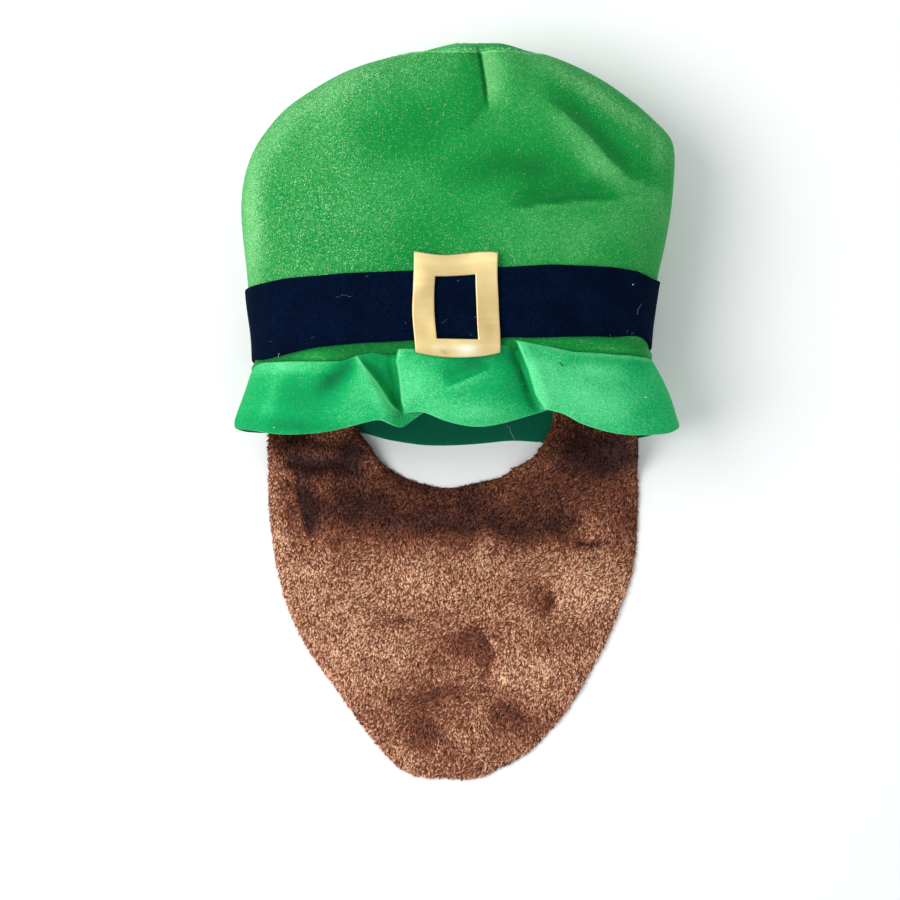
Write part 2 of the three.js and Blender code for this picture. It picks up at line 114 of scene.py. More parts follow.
SKY_COLOUR = (0.94, 0.97, 1.0, 1.0)
SKY_STRENGTH = 0.62
sky = bpy.data.worlds.new("soft_sky")
sky.use_nodes = True
sky.node_tree.nodes["Background"].inputs["Color"].default_value = SKY_COLOUR
sky.node_tree.nodes["Background"].inputs["Strength"].default_value = SKY_STRENGTH
bpy.context.scene.world = sky

for lamp_name, place, size, power in (
    ("window", (-1.1, 0.1, 1.5), 1.4, 27.0),
    ("room", (0.9, 0.9, 1.7), 1.6, 5.0),
):
    lamp_data = bpy.data.lights.new(lamp_name, "AREA")
    lamp_data.shape = "DISK"
    lamp_data.size = size
    lamp_data.energy = power
    lamp = bpy.data.objects.new(lamp_name, lamp_data)
    lamp.location = place
    lamp.rotation_euler = (-Vector(place)).to_track_quat("-Z", "Y").to_euler()
    bpy.context.scene.collection.objects.link(lamp)


# Crown: a tube of velour with a thin foam back, cut from one panel and sewn up. It lies squashed,
# with a dart at the top seam, a slumped right shoulder and a sag line below it.
WELD = 0.02 * MM
RIM_ANGLE = math.radians(55)
QUAD_BEND = 1.0
QUAD_SKEW = 3.1


def soft_copy(node, name, levels, rim=1.0):
    """Smooth copy of a solid of the frame, whose rims keep their place."""
    shape = bmesh.new()
    shape.from_mesh(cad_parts[node].data)
    bmesh.ops.remove_doubles(shape, verts=shape.verts, dist=WELD)
    bmesh.ops.join_triangles(
        shape, faces=shape.faces, angle_face_threshold=QUAD_BEND, angle_shape_threshold=QUAD_SKEW)
    crease = shape.edges.layers.float.new("crease_edge")
    for edge in shape.edges:
        if len(edge.link_faces) == 2 and edge.calc_face_angle() > RIM_ANGLE:
            edge[crease] = rim
    mesh = bpy.data.meshes.new(name)
    shape.to_mesh(mesh)
    shape.free()
    piece = bpy.data.objects.new(name, mesh)
    bpy.context.scene.collection.objects.link(piece)
    smoother = piece.modifiers.new("smooth", "SUBSURF")
    smoother.levels = smoother.render_levels = levels
    return settle(piece)


def settle(piece):
    """Makes a piece's modifiers part of its mesh, and shades it smooth."""
    shown = piece.evaluated_get(bpy.context.evaluated_depsgraph_get())
    mesh = bpy.data.meshes.new_from_object(shown)
    piece.modifiers.clear()
    piece.data = mesh
    mesh.polygons.foreach_set("use_smooth", [True] * len(mesh.polygons))
    return piece


def finer(piece, where):
    """Halves the edges of a piece whose ends both lie where the test says."""
    shape = bmesh.new()
    shape.from_mesh(piece.data)
    inside = {v for v in shape.verts if where(v.co, v.normal)}
    edges = [e for e in shape.edges if e.verts[0] in inside and e.verts[1] in inside]
    bmesh.ops.subdivide_edges(shape, edges=edges, cuts=1, smooth=1.0, use_grid_fill=True)
    shape.to_mesh(piece.data)
    shape.free()
    piece.data.polygons.foreach_set("use_smooth", [True] * len(piece.data.polygons))


def points_of(piece):
    flat = np.empty(len(piece.data.vertices) * 3, np.float32)
    piece.data.vertices.foreach_get("co", flat)
    return flat.reshape(-1, 3).astype(float)


def normals_of(piece):
    flat = np.empty(len(piece.data.vertices) * 3, np.float32)
    piece.data.vertex_normals.foreach_get("vector", flat)
    return flat.reshape(-1, 3).astype(float)


def put_points(piece, points):
    piece.data.vertices.foreach_set("co", points.astype(np.float32).ravel())
    piece.data.update()


def waves(points, size, offset=0.0):
    """Smooth noise from -1 to 1 at each point, in lumps of a size."""
    shift = Vector((offset, offset * 1.7, -offset))
    return np.array([noise.noise(Vector(p) / size + shift) for p in points])


def ease(low, high, value):
    """0 below low, 1 above high and smooth between."""
    t = np.clip((value - low) / (high - low), 0, 1)
    return t * t * (3 - 2 * t)


FAR = 1e9


def line_places(points, line):
    """How far each point lies along a polyline, from 0 to 1, and beside it, left being plus."""
    line = np.array(line, float) * MM
    steps = np.diff(line, axis=0)
    lengths = np.linalg.norm(steps, axis=1)
    best = np.full(len(points), FAR)
    along = np.zeros(len(points))
    beside = np.zeros(len(points))
    for i, (start, step, length) in enumerate(zip(line, steps, lengths)):
        offset = points[:, :2] - start
        run = (offset @ step) / length
        low = -FAR if i == 0 else 0
        high = FAR if i == len(steps) - 1 else length
        held = np.clip(run, low, high)
        away = offset - np.outer(held / length, step)
        distance = np.linalg.norm(away, axis=1)
        side = np.sign(step[0] * offset[:, 1] - step[1] * offset[:, 0])
        nearer = distance < best
        best = np.where(nearer, distance, best)
        along = np.where(nearer, (lengths[:i].sum() + held) / lengths.sum(), along)
        beside = np.where(nearer, side * distance, beside)
    return along, beside


def hump(value, width):
    return np.exp(-(value / width) ** 2)


# Creases of the cloth, as lines in millimetres. Each has the height, the place beside the line and
# the width of its humps and valleys, the same for the painted shade and light along it, and how
# its ends fade. A shade with a side, 1 or -1, breaks off sharply at its place.
CROWN_LINES = {
    "dart": ([(12.8, 224), (14.2, 215), (16.2, 200), (17.6, 186)],
             ((-3.2, 0.0, 1.1), (-1.8, 2.0, 7.0), (1.4, 14.0, 7.0)),
             ((-0.42, -0.2, 0.9, 0), (-0.16, -1.0, 12.0, -1), (0.26, 1.0, 9.0, 1)),
             (-0.3, 0.0, 0.7, 1.15)),
    "ridge": ([(55, 188), (63, 182.5), (80, 167), (89, 156), (102, 145), (128, 137)],
              ((2.2, -1.5, 5.5), (-4.4, 7.5, 8.0)),
              ((-0.18, 0.5, 15.0, 1), (-0.12, 8.0, 8.0, 0), (0.10, 0.5, 13.0, -1)),
              (-0.15, 0.2, 0.5, 1.15)),
    "sag": ([(24, 122), (31, 124), (55, 128), (80, 130), (127, 136)],
            ((2.4, -2.0, 4.0), (-3.8, 5.0, 6.0)),
            ((-0.30, 0.0, 12.0, 1), (0.03, 0.0, 6.0, -1)),
            (0.0, 0.25, 0.5, 0.95)),
    "left dent": ([(-62, 168), (-30, 158), (5, 163)],
                  ((-2.0, 0.0, 14.0),), ((-0.06, 0.0, 12.0, 0),), (-0.1, 0.3, 0.7, 1.1)),
    "low dent": ([(-10, 140), (30, 152), (60, 145)],
                 ((-1.6, 0.0, 10.0),), ((-0.14, 0.0, 9.0, 0),), (-0.1, 0.3, 0.7, 1.1)),
    "dart end": ([(17, 188), (12, 180), (8, 170)], ((-0.6, 0.0, 2.0),),
                 ((-0.12, 0.0, 6.0, -1),), (-0.1, 0.1, 0.6, 1.1)),
    "folded slope": ([(40, 146), (56, 150), (72, 144)], ((-0.8, 0.0, 8.0),),
                     ((-0.12, 0.0, 9.0, 0),), (-0.2, 0.3, 0.7, 1.2)),
}
# Heights over which the front of the hat begins, and how softly a shade with a side breaks off
FRONT = (0.060, 0.085)
SHADE_BREAK = 0.4 * MM


def along_lines(points, lines, front=FRONT):
    """Sums of the humps and the painted shade and light of a table of creases, over the front."""
    lift = np.zeros(len(points))
    tone = np.zeros(len(points))
    for line, humps, shades, (start, full, wane, end) in lines.values():
        along, beside = line_places(points, line)
        fade = ease(start, full, along) * (1 - ease(wane, end, along))
        for height, offset, width in humps:
            lift += height * MM * hump(beside - offset * MM, width * MM) * fade
        for amount, offset, width, side in shades:
            away = beside - offset * MM
            kept = ease(-SHADE_BREAK, SHADE_BREAK, side * away) if side else 1
            tone += amount * hump(away, width * MM) * kept * fade
    at_front = ease(*front, points[:, 2])
    return lift * at_front, tone * at_front


# Heights over which the cloth comes free of the table, and the size and height of its waves, with
# the places in the noise from which their three directions are taken
COMES_FREE = (0.004, 0.030)
WAVES = (
    (55 * MM, 1.5 * MM, (3.1, 7.7, 12.9)),
    (24 * MM, 0.5 * MM, (4.3, 8.9, 15.2)),
)


def ripple(points):
    """Slow waves that move all the cloth of the hat together, less where it lies on the table."""
    free = ease(*COMES_FREE, points[:, 2])[:, None]
    moved = np.zeros_like(points)
    for size, height, offsets in WAVES:
        moved += height * np.stack([waves(points, size, k) for k in offsets], axis=1)
    return points + free * moved


AXIS_HEIGHT = 0.055
PUCKERS = 27
PUCKER_DEPTH = 0.25 * MM
PUCKER_REACH = 7 * MM


def puckers(points, normals, seam_y):
    """Small gathers that a seam at a place along the hat pulls into the cloth."""
    turn = np.arctan2(points[:, 2] - AXIS_HEIGHT, points[:, 0])
    beat = np.sin(turn * PUCKERS + 3 * np.sin(turn * 5)) * (0.6 + 0.4 * np.sin(turn * 13 + 1))
    near = hump(points[:, 1] - seam_y, PUCKER_REACH)
    return points + normals * (PUCKER_DEPTH * beat * near)[:, None]


UPPER_SIDE = 0.07
STATIONS = np.linspace(-0.120, 0.110, 47)
STATION_REACH = 4 * MM


def edge_line(points, pick):
    """Place along the hat of the edge of a piece's front, as a function of the place across."""
    front = points[:, 2] > UPPER_SIDE
    along = [pick(points[front & (abs(points[:, 0] - x) < STATION_REACH), 1]) for x in STATIONS]
    return lambda x: np.interp(x, STATIONS, along)


# How far the seam of the crown's hem strays along the hat, at places across it, both in millimetres
HEM_STRAY = np.array([
    (-125, 2.6), (-119, 2.4), (-93, -1.0), (-70, -3.0), (-59, -0.5), (-36, 2.1), (-4, 1.0),
    (34, 4.8), (50, 1.8), (69, -2.6), (95, -4.0), (111, -3.4), (125, -2.0)]) * MM
HEM_TUCK = 1.6 * MM
TUCK_REACH = 5 * MM
STRAY_REACH = 9 * MM
SIDE_BULGE = 3.0 * MM


def side_bulge(points):
    """How far the cloth bulges out at the two sides of the hem, across the hat."""
    left = ease(0.094, 0.116, -points[:, 0]) * ease(-0.012, 0.002, points[:, 1])
    right = ease(0.086, 0.108, points[:, 0]) * ease(-0.012, 0.026, points[:, 1])
    return SIDE_BULGE * (right - left)


def top_slant(points):
    """How far the top seam lies past a straight one: its left end falls back a little."""
    left, right = ease(0.022, 0.042, -points[:, 0]), ease(0.040, 0.055, points[:, 0])
    return (0.8 * right - 2.2 * left) * MM


crown = soft_copy("crown_side", "crown_velour", levels=2)
crown_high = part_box("crown_side")[1]
AXIS = Vector((0.0, 0.0, AXIS_HEIGHT))
FINE_ABOVE = 0.045


def outer_front(co, normal):
    return co.z > FINE_ABOVE and normal.dot(Vector((co.x, 0, co.z - AXIS.z))) > 0


finer(crown, outer_front)
DART_BOX = ((-0.01, 0.04), (0.178, 0.225))


def near_dart(co, normal):
    (left, right), (low, high) = DART_BOX
    return outer_front(co, normal) and left < co.x < right and low < co.y < high


finer(crown, near_dart)
spots = points_of(crown)
outward = normals_of(crown)
from_top_seam = spots[:, 1].max() - spots[:, 1]
spots[:, 2] += along_lines(spots, CROWN_LINES)[0]
spots = puckers(spots, outward, crown_high.y)
above_hem = spots[:, 1] - edge_line(spots, np.min)(spots[:, 0])
at_front = ease(*FRONT, spots[:, 2])
stray = np.interp(spots[:, 0], HEM_STRAY[:, 0], HEM_STRAY[:, 1])
spots[:, 1] += np.minimum(stray, 0) * at_front * (1 - ease(0, STRAY_REACH, above_hem))
spots[:, 2] -= HEM_TUCK * at_front * (1 - ease(0, TUCK_REACH, above_hem))

# The bulge of the sides ends a little above the hem, and further up at the right
BULGE_END = 0.026
BULGE_RISE = 0.009
BULGE_FADE = 0.011
NEAR_TOP = (0.195, 0.222)
bulge_end = BULGE_END + BULGE_RISE * ease(-0.05, 0.05, spots[:, 0])
spots[:, 0] += side_bulge(spots) * (1 - ease(bulge_end, bulge_end + BULGE_FADE, spots[:, 1]))
spots[:, 1] += top_slant(spots) * ease(*NEAR_TOP, spots[:, 1])
put_points(crown, ripple(spots))


def patched(points, patches):
    """Sum of soft oval patches, each with its place, reach across and along, turn and amount."""
    total = np.zeros(len(points))
    for x, y, across, along, turn, amount in patches:
        angle = math.radians(turn)
        dx, dy = points[:, 0] - x * MM, points[:, 1] - y * MM
        u = (dx * math.cos(angle) + dy * math.sin(angle)) / (across * MM)
        v = (dy * math.cos(angle) - dx * math.sin(angle)) / (along * MM)
        total += amount * np.exp(-u * u - v * v)
    return total


def store(mesh, name, values):
    """Keeps a value from 0 to 1 with every vertex of a mesh."""
    layer = mesh.attributes.new(name, "FLOAT", "POINT")
    layer.data.foreach_set("value", np.clip(values, 0, 1).astype(np.float32).ravel())


def tones(piece, patches, drift, size, more=0.0):
    """Stores the pile's tone from brushing and from painted light and shade; 0.5 is the middle."""
    points = points_of(piece)
    tone = 0.5 + drift * waves(points, size, 21.0) + 0.5 * drift * waves(points, size / 2.7, 5.0)
    store(piece.data, "tone", tone + patched(points, patches) + more)


def socket_group(name, inputs, outputs):
    """Empty shader group with named values going in and out, and its two end nodes."""
    tree = bpy.data.node_groups.new(name, "ShaderNodeTree")
    for label, default in inputs.items():
        socket = tree.interface.new_socket(label, in_out="INPUT", socket_type="NodeSocketFloat")
        socket.default_value = default
    for label in outputs:
        tree.interface.new_socket(label, in_out="OUTPUT", socket_type="NodeSocketFloat")
    return tree, tree.nodes.new("NodeGroupInput"), tree.nodes.new("NodeGroupOutput")


def reach(tree, value, low, high, to_low=0.0, to_high=1.0):
    """Value stretched from one range to another, held at its ends."""
    return add(tree, "ShaderNodeMapRange", {
        "Value": value, "From Min": low, "From Max": high, "To Min": to_low, "To Max": to_high,
    }).outputs["Result"]


def times(tree, first, second, operation="MULTIPLY"):
    return add(tree, "ShaderNodeMath", {0: first, 1: second}, operation=operation).outputs[0]


# The pile of velour in three sizes: clumps, single tufts and the tips that glint as painted
# highlights. Clumps and tips are given as a share of the tufts' frequency.
CLUMP_SCALE = 0.22
TIP_SCALE = 0.55
CLUMP_SHARE = 0.12
pile_group, pile_in, pile_out = socket_group(
    "velour_pile", {"Tuft": 1.1 * MM, "Glints": 0.5}, ("Tone", "Glint", "Height"))
pile_place = add(pile_group, "ShaderNodeTexCoord").outputs["Object"]
pile_count = times(pile_group, 1.0, pile_in.outputs["Tuft"], "DIVIDE")
pile_tufts = add(pile_group, "ShaderNodeTexNoise", {
    "Vector": pile_place, "Scale": pile_count, "Detail": 2.0, "Roughness": 0.6}).outputs["Fac"]
pile_clumps = add(pile_group, "ShaderNodeTexNoise", {
    "Vector": pile_place, "Scale": times(pile_group, pile_count, CLUMP_SCALE), "Detail": 2.0,
    "Roughness": 0.5}).outputs["Fac"]
pile_tips = add(pile_group, "ShaderNodeTexVoronoi", {
    "Vector": pile_place, "Scale": times(pile_group, pile_count, TIP_SCALE)})
pile_tip_near = reach(pile_group, pile_tips.outputs["Distance"], 0.16, 0.42, 1.0, 0.0)
pile_tip_pick = reach(pile_group, add(pile_group, "ShaderNodeSeparateColor", {
    0: pile_tips.outputs["Color"]}).outputs[0], 0.50, 0.90)
pile_glint = times(pile_group, times(pile_group, pile_tip_near, pile_tip_pick),
                   pile_in.outputs["Glints"])
pile_tone = add(pile_group, "ShaderNodeMix", {
    0: CLUMP_SHARE, 2: reach(pile_group, pile_tufts, 0.3, 0.7),
    3: reach(pile_group, pile_clumps, 0.35, 0.65),
}, data_type="FLOAT").outputs[0]
pile_group.links.new(pile_tone, pile_out.inputs["Tone"])
pile_group.links.new(pile_glint, pile_out.inputs["Glint"])
pile_group.links.new(pile_tufts, pile_out.inputs["Height"])


def blended(tree, share, first, second):
    return add(tree, "ShaderNodeMix", {0: share, 6: first, 7: second}, data_type="RGBA").outputs[2]


# How strong the grain of the pile is at most, its share where the pile is dark, and its shares
# where the pile is smooth and ruffled
GRAIN = 0.6
DARK_GRAIN = 0.25
SMOOTH_GRAIN = 0.48
RUFFLED_GRAIN = 1.45


def velour(name, deep, middle, light, glint, tuft=0.62 * MM, glints=0.9, bump=0.3):
    """Velour: its pile goes from deep to light with the way it is brushed and with painted light
    and shade, and its tips glint as painted highlights.
    """
    made, tree, shader = material(
        name, Roughness=0.8, Sheen_Weight=0.14, Sheen_Roughness=0.4,
        Sheen_Tint=(0.25, 0.9, 0.4, 1.0), Specular_IOR_Level=0.1)
    pile = add(tree, "ShaderNodeGroup", node_tree=pile_group)
    pile.inputs["Tuft"].default_value = tuft
    pile.inputs["Glints"].default_value = glints
    brushed_and_painted_light = add(tree, "ShaderNodeAttribute", attribute_name="tone").outputs["Fac"]
    ruffled = add(tree, "ShaderNodeAttribute", attribute_name="ruffled").outputs["Fac"]
    raised = times(tree, reach(tree, brushed_and_painted_light, 0.25, 0.65, DARK_GRAIN, 1.0),
                   reach(tree, ruffled, 0.0, 1.0, SMOOTH_GRAIN, RUFFLED_GRAIN))
    grain = times(tree, reach(tree, pile.outputs["Tone"], 0.0, 1.0, -GRAIN, GRAIN), raised)
    tone = times(tree, brushed_and_painted_light, grain, "ADD")
    dark_half = blended(tree, reach(tree, tone, 0.0, 0.5), deep, middle)
    both = blended(tree, reach(tree, tone, 0.5, 1.0), dark_half, light)
    tipped = blended(tree, times(tree, pile.outputs["Glint"], raised), both, glint)
    bumped = add(tree, "ShaderNodeBump", {
        "Height": pile.outputs["Height"], "Strength": bump, "Distance": 0.5 * MM})
    tree.links.new(tipped, shader.inputs["Base Color"])
    tree.links.new(bumped.outputs[0], shader.inputs["Normal"])
    return made


# Patches of brushed pile and of painted light and shade: place, reach across and along, turn in
# degrees, and how much lighter
CROWN_PATCHES = (
    (84, 195, 46, 6, -33, 0.16),
    (88, 148, 22, 8, -35, 0.13),
    (-25, 100, 30, 26, 0, -0.14),
    (-80, 120, 40, 60, 0, -0.08),
    (94, 41, 20, 4, -3, 0.38),
    (60, 42, 30, 5, 0, 0.18),
    (-125, 118, 7, 45, 0, 0.42),
    (-112, 168, 9, 26, -28, 0.20),
    (-78, 197, 26, 8, 32, 0.18),
    (-60, 95, 40, 20, 10, 0.02),
    (-75, 185, 30, 14, 25, 0.08),
    (122, 160, 5, 22, 0, 0.12),
    (-20, 175, 26, 14, 0, -0.14),
    (25, 150, 30, 14, 8, -0.12),
    (70, 110, 40, 14, 4, 0.05),
    (-86, 37, 14, 4, 0, 0.38),
)
# Patches of ruffled pile, with stronger grain and painted glints, given the same way
RUFFLED = (
    (-95, 120, 60, 70, 0, 0.85),
    (-60, 205, 60, 14, 20, 0.8),
    (85, 197, 60, 8, -33, 0.6),
    (-30, 95, 50, 20, 0, 0.25),
)
# The strip below the band lies in its shadow, painted darker, and a painted highlight runs along
# the top seam, where the pile stands up
STRIP_PAINTED_SHADOW = 0.36
STRIP_END = (0.044, 0.050)
SEAM_PAINTED_HIGHLIGHT = 0.36
SEAM_EDGE = (0.5 * MM, 1.5 * MM)
SEAM_RUFFLED = 0.6
crown_points = points_of(crown)
crown_painted_light = along_lines(crown_points, CROWN_LINES)[1]
at_front = ease(*FRONT, crown_points[:, 2])
crown_painted_light -= STRIP_PAINTED_SHADOW * at_front * (1 - ease(*STRIP_END, crown_points[:, 1]))
seam_edge = 1 - ease(*SEAM_EDGE, from_top_seam)
crown_painted_light += SEAM_PAINTED_HIGHLIGHT * seam_edge
store(crown.data, "ruffled", patched(crown_points, RUFFLED) + SEAM_RUFFLED * seam_edge)
tones(crown, CROWN_PATCHES, 0.07, 45 * MM, crown_painted_light)
crown.data.materials.clear()
crown.data.materials.append(velour(
    "crown_velour", colour(2, 88, 36), colour(14, 142, 58), colour(126, 206, 130),
    colour(216, 246, 200), tuft=0.5 * MM))
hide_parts("crown_side")
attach(crown, "root")


# Top: an oval of the same velour, sewn edge to edge into the end of the crown. It is a little
# domed, and its rim stands out past the seam in the middle and falls back at its ends.
TOP_MIDDLE = 0.013
TOP_LEFT, TOP_RIGHT = 0.038, 0.041
TOP_STRETCH = 1.58
TOP_FALL = 2.5
TOP_FALLS = (0.3, 1.5)
TOP_SINK = 0.9 * MM
RIM_EDGE = (0.8 * MM, 2.2 * MM)
# Painted highlight along the rim's seam, and painted shade over the whole top
RIM_PAINTED_HIGHLIGHT = 0.18
TOP_PAINTED_SHADE = 0.04
TOP_RUFFLED = 0.3
top = soft_copy("crown_top", "top_velour", levels=3, rim=0.5)
top_spots = points_of(top)
from_rim = top_spots[:, 1] - top_spots[:, 1].min()
top_spots = puckers(top_spots, normals_of(top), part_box("crown_top")[0].y)
top_reach = np.where(top_spots[:, 0] < TOP_MIDDLE, TOP_LEFT, TOP_RIGHT)
top_stands = TOP_STRETCH - TOP_FALL * ease(
    *TOP_FALLS, abs(top_spots[:, 0] - TOP_MIDDLE) / top_reach)
top_spots[:, 1] = crown_high.y + (top_spots[:, 1] - crown_high.y) * top_stands - TOP_SINK
top_spots[:, 1] += top_slant(top_spots)
top_spots[:, 2] += along_lines(top_spots, {"dart": CROWN_LINES["dart"]})[0]
put_points(top, ripple(top_spots))
rim_edge = 1 - ease(*RIM_EDGE, from_rim)
tones(top, ((-8, 226, 16, 10, 0, 0.22), (24, 226, 20, 10, 0, -0.05)), 0.08, 30 * MM,
      RIM_PAINTED_HIGHLIGHT * rim_edge - TOP_PAINTED_SHADE)
store(top.data, "ruffled", TOP_RUFFLED + SEAM_RUFFLED * rim_edge)
# The top's velour is a slightly darker copy of the crown's, as painted shade
top.data.materials.clear()
top.data.materials.append(velour(
    "top_velour", colour(2, 88, 38), colour(14, 142, 62), colour(112, 202, 126),
    colour(196, 240, 188)))
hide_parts("crown_top")
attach(top, "root")


# Band: a strip of thick black-blue felt with plain cut edges, glued round the crown. Its lower edge
# dips at the left and lifts at the right, and its upper edge rises in the middle and to the right.
BAND_DIP = 3.0 * MM
LOW_EDGE = (0.045, 0.070)
HIGH_EDGE = (0.048, 0.080)
LEFT_END = (0.080, 0.112)
RIGHT_END = (0.090, 0.112)
band = soft_copy("hat_band", "band_felt", levels=3)
band_points = points_of(band)
low_half = ease(*FRONT, band_points[:, 2]) * (1 - ease(*LOW_EDGE, band_points[:, 1]))
band_points[:, 1] -= BAND_DIP * low_half * ease(*LEFT_END, -band_points[:, 0])
band_points[:, 1] += BAND_DIP * low_half * ease(*RIGHT_END, band_points[:, 0])

# How far its upper edge runs above a straight one, at places across it, both in millimetres
BAND_RISE = np.array([
    (-120, 0.0), (-103, 0.9), (-85, 1.1), (-67, 1.8), (-27, 2.1), (24, 3.5), (55, 5.0),
    (90, 4.4), (108, 3.0), (118, 0.4)]) * MM


def tree_of(piece):
    return BVHTree.FromPolygons([v.co for v in piece.data.vertices],
                                [tuple(face.vertices) for face in piece.data.polygons])


def height_at(tree, x, y):
    """Height of a piece's upper side at a place, or nothing where it isn't there."""
    hit = tree.ray_cast(Vector((x, y, 1.0)), Vector((0, 0, -1)))[0]
    return hit.z if hit else None


crown_tree = tree_of(crown)
band_rise = np.interp(band_points[:, 0], BAND_RISE[:, 0], BAND_RISE[:, 1])
band_rise *= ease(*FRONT, band_points[:, 2]) * ease(*HIGH_EDGE, band_points[:, 1])
LEAST_RISE = 0.05 * MM
for i in np.flatnonzero(band_rise > LEAST_RISE):
    x, y = band_points[i, :2]
    before, after = height_at(crown_tree, x, y), height_at(crown_tree, x, y + band_rise[i])
    if before and after:
        band_points[i, 2] += after - before
band_points[:, 1] += band_rise
put_points(band, ripple(band_points))
felt, felt_tree, felt_shader = material(
    "band_felt", Roughness=0.95, Specular_IOR_Level=0.02, Sheen_Weight=0.01, Sheen_Roughness=0.6,
    Sheen_Tint=(0.1, 0.4, 0.8, 1.0))
felt_place = add(felt_tree, "ShaderNodeTexCoord").outputs["Object"]
felt_fibre = add(felt_tree, "ShaderNodeTexNoise", {
    "Vector": felt_place, "Scale": 900.0, "Detail": 4.0, "Distortion": 1.4}).outputs["Fac"]
felt_mottle = add(felt_tree, "ShaderNodeTexNoise", {
    "Vector": felt_place, "Scale": 60.0, "Detail": 3.0}).outputs["Fac"]
felt_mix = times(felt_tree, reach(felt_tree, felt_fibre, 0.35, 0.75),
                 reach(felt_tree, felt_mottle, 0.3, 0.7, 0.35, 1.0))
felt_tree.links.new(
    blended(felt_tree, felt_mix, colour(0, 5, 22), colour(4, 28, 58)),
    felt_shader.inputs["Base Color"])
felt_bump = add(felt_tree, "ShaderNodeBump", {
    "Height": felt_fibre, "Strength": 0.4, "Distance": 0.3 * MM})
felt_tree.links.new(felt_bump.outputs[0], felt_shader.inputs["Normal"])
band.data.materials.clear()
band.data.materials.append(felt)
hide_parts("hat_band")
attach(band, "root")


# Buckle: a square cut from thin gold-coated vinyl with a window, lying loose over the band and
# bent down where it leaves the band's lower edge.
buckle = soft_copy("buckle", "buckle_vinyl", levels=3)
buckle_low, buckle_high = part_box("buckle")
sheet_points = ripple(points_of(buckle))
width = buckle_high.x - buckle_low.x
length = buckle_high.y - buckle_low.y
u = (sheet_points[:, 0] - buckle_low.x) / width
v = (sheet_points[:, 1] - buckle_low.y) / length

# How far it strays from a true square: its lower corners in, the foot of the window down, the
# upper edge in a wave, the lower edge bent down, the upper edge curled and the sheet dented
CORNER_SHIFT = (1.7 * MM, 1.5 * MM, 0.4 * MM)
WINDOW_DROP = 1.3 * MM
EDGE_WAVE = 1.1 * MM
EDGE_BEND = 1.0 * MM
EDGE_CURL = 0.9 * MM
SHEET_DENT = 0.5 * MM
low_edge = 1 - ease(0.0, 0.5, v)
high_edge = ease(0.5, 1.0, v)
low_left, low_change, high_right = CORNER_SHIFT
sheet_points[:, 0] += low_edge * (low_left - low_change * u) - high_edge * high_right * u
window_foot = (ease(0.05, 0.16, v) * (1 - ease(0.3, 0.6, v))
               * ease(0.16, 0.26, u) * (1 - ease(0.74, 0.84, u)))
sheet_points[:, 1] -= WINDOW_DROP * window_foot
sheet_points[:, 1] += EDGE_WAVE * high_edge * np.sin(2 * math.pi * (u + 0.42))
sheet_points[:, 2] -= EDGE_BEND * (1 - ease(0.0, 0.12, v))
sheet_points[:, 2] += EDGE_CURL * high_edge * np.sin(2.2 * math.pi * (u + 0.1))
sheet_points[:, 2] += SHEET_DENT * waves(sheet_points, 16 * MM, 2.0)
put_points(buckle, sheet_points)
vinyl, vinyl_tree, vinyl_shader = material(
    "gold_vinyl", Metallic=0.4, Roughness=0.36, Specular_IOR_Level=0.5)
vinyl_place = add(vinyl_tree, "ShaderNodeTexCoord").outputs["Object"]
vinyl_rub = add(vinyl_tree, "ShaderNodeTexNoise", {
    "Vector": vinyl_place, "Scale": 38.0, "Detail": 2.0, "Roughness": 0.5}).outputs["Fac"]
vinyl_grain = add(vinyl_tree, "ShaderNodeTexNoise", {
    "Vector": vinyl_place, "Scale": 1500.0, "Detail": 2.0}).outputs["Fac"]
vinyl_streaks = add(vinyl_tree, "ShaderNodeTexNoise", {
    "Vector": add(vinyl_tree, "ShaderNodeMapping", {
        "Vector": vinyl_place, "Scale": (25.0, 260.0, 25.0)}).outputs[0],
    "Scale": 1.0, "Detail": 2.0}).outputs["Fac"]
vinyl_painted_shine_and_spots = add(vinyl_tree, "ShaderNodeAttribute", attribute_name="tone").outputs["Fac"]
vinyl_tone = times(vinyl_tree, vinyl_painted_shine_and_spots, times(
    vinyl_tree, reach(vinyl_tree, vinyl_rub, 0.35, 0.65, -0.06, 0.06),
    reach(vinyl_tree, vinyl_streaks, 0.3, 0.7, -0.04, 0.04), "ADD"), "ADD")
vinyl_dull = blended(vinyl_tree, reach(vinyl_tree, vinyl_tone, 0.0, 0.5),
                     colour(172, 134, 76), colour(224, 200, 140))
vinyl_tree.links.new(
    blended(vinyl_tree, reach(vinyl_tree, vinyl_tone, 0.5, 1.0), vinyl_dull, colour(255, 250, 226)),
    vinyl_shader.inputs["Base Color"])
vinyl_tree.links.new(reach(vinyl_tree, vinyl_rub, 0.3, 0.7, 0.3, 0.46),
                     vinyl_shader.inputs["Roughness"])
vinyl_bump = add(vinyl_tree, "ShaderNodeBump", {
    "Height": vinyl_grain, "Strength": 0.08, "Distance": 0.1 * MM})
vinyl_tree.links.new(vinyl_bump.outputs[0], vinyl_shader.inputs["Normal"])
cut_edge, cut_tree, cut_shader = material("vinyl_cut_edge", Roughness=0.6)
cut_speck = add(cut_tree, "ShaderNodeTexNoise", {"Scale": 700.0, "Detail": 2.0}).outputs["Fac"]
cut_tree.links.new(
    blended(cut_tree, cut_speck, colour(235, 220, 175), colour(255, 250, 225)),
    cut_shader.inputs["Base Color"])
buckle.data.materials.clear()
buckle.data.materials.append(vinyl)
buckle.data.materials.append(cut_edge)
CUT_STEEP = 0.3
for face in buckle.data.polygons:
    face.material_index = int(abs(face.normal.z) < CUT_STEEP)
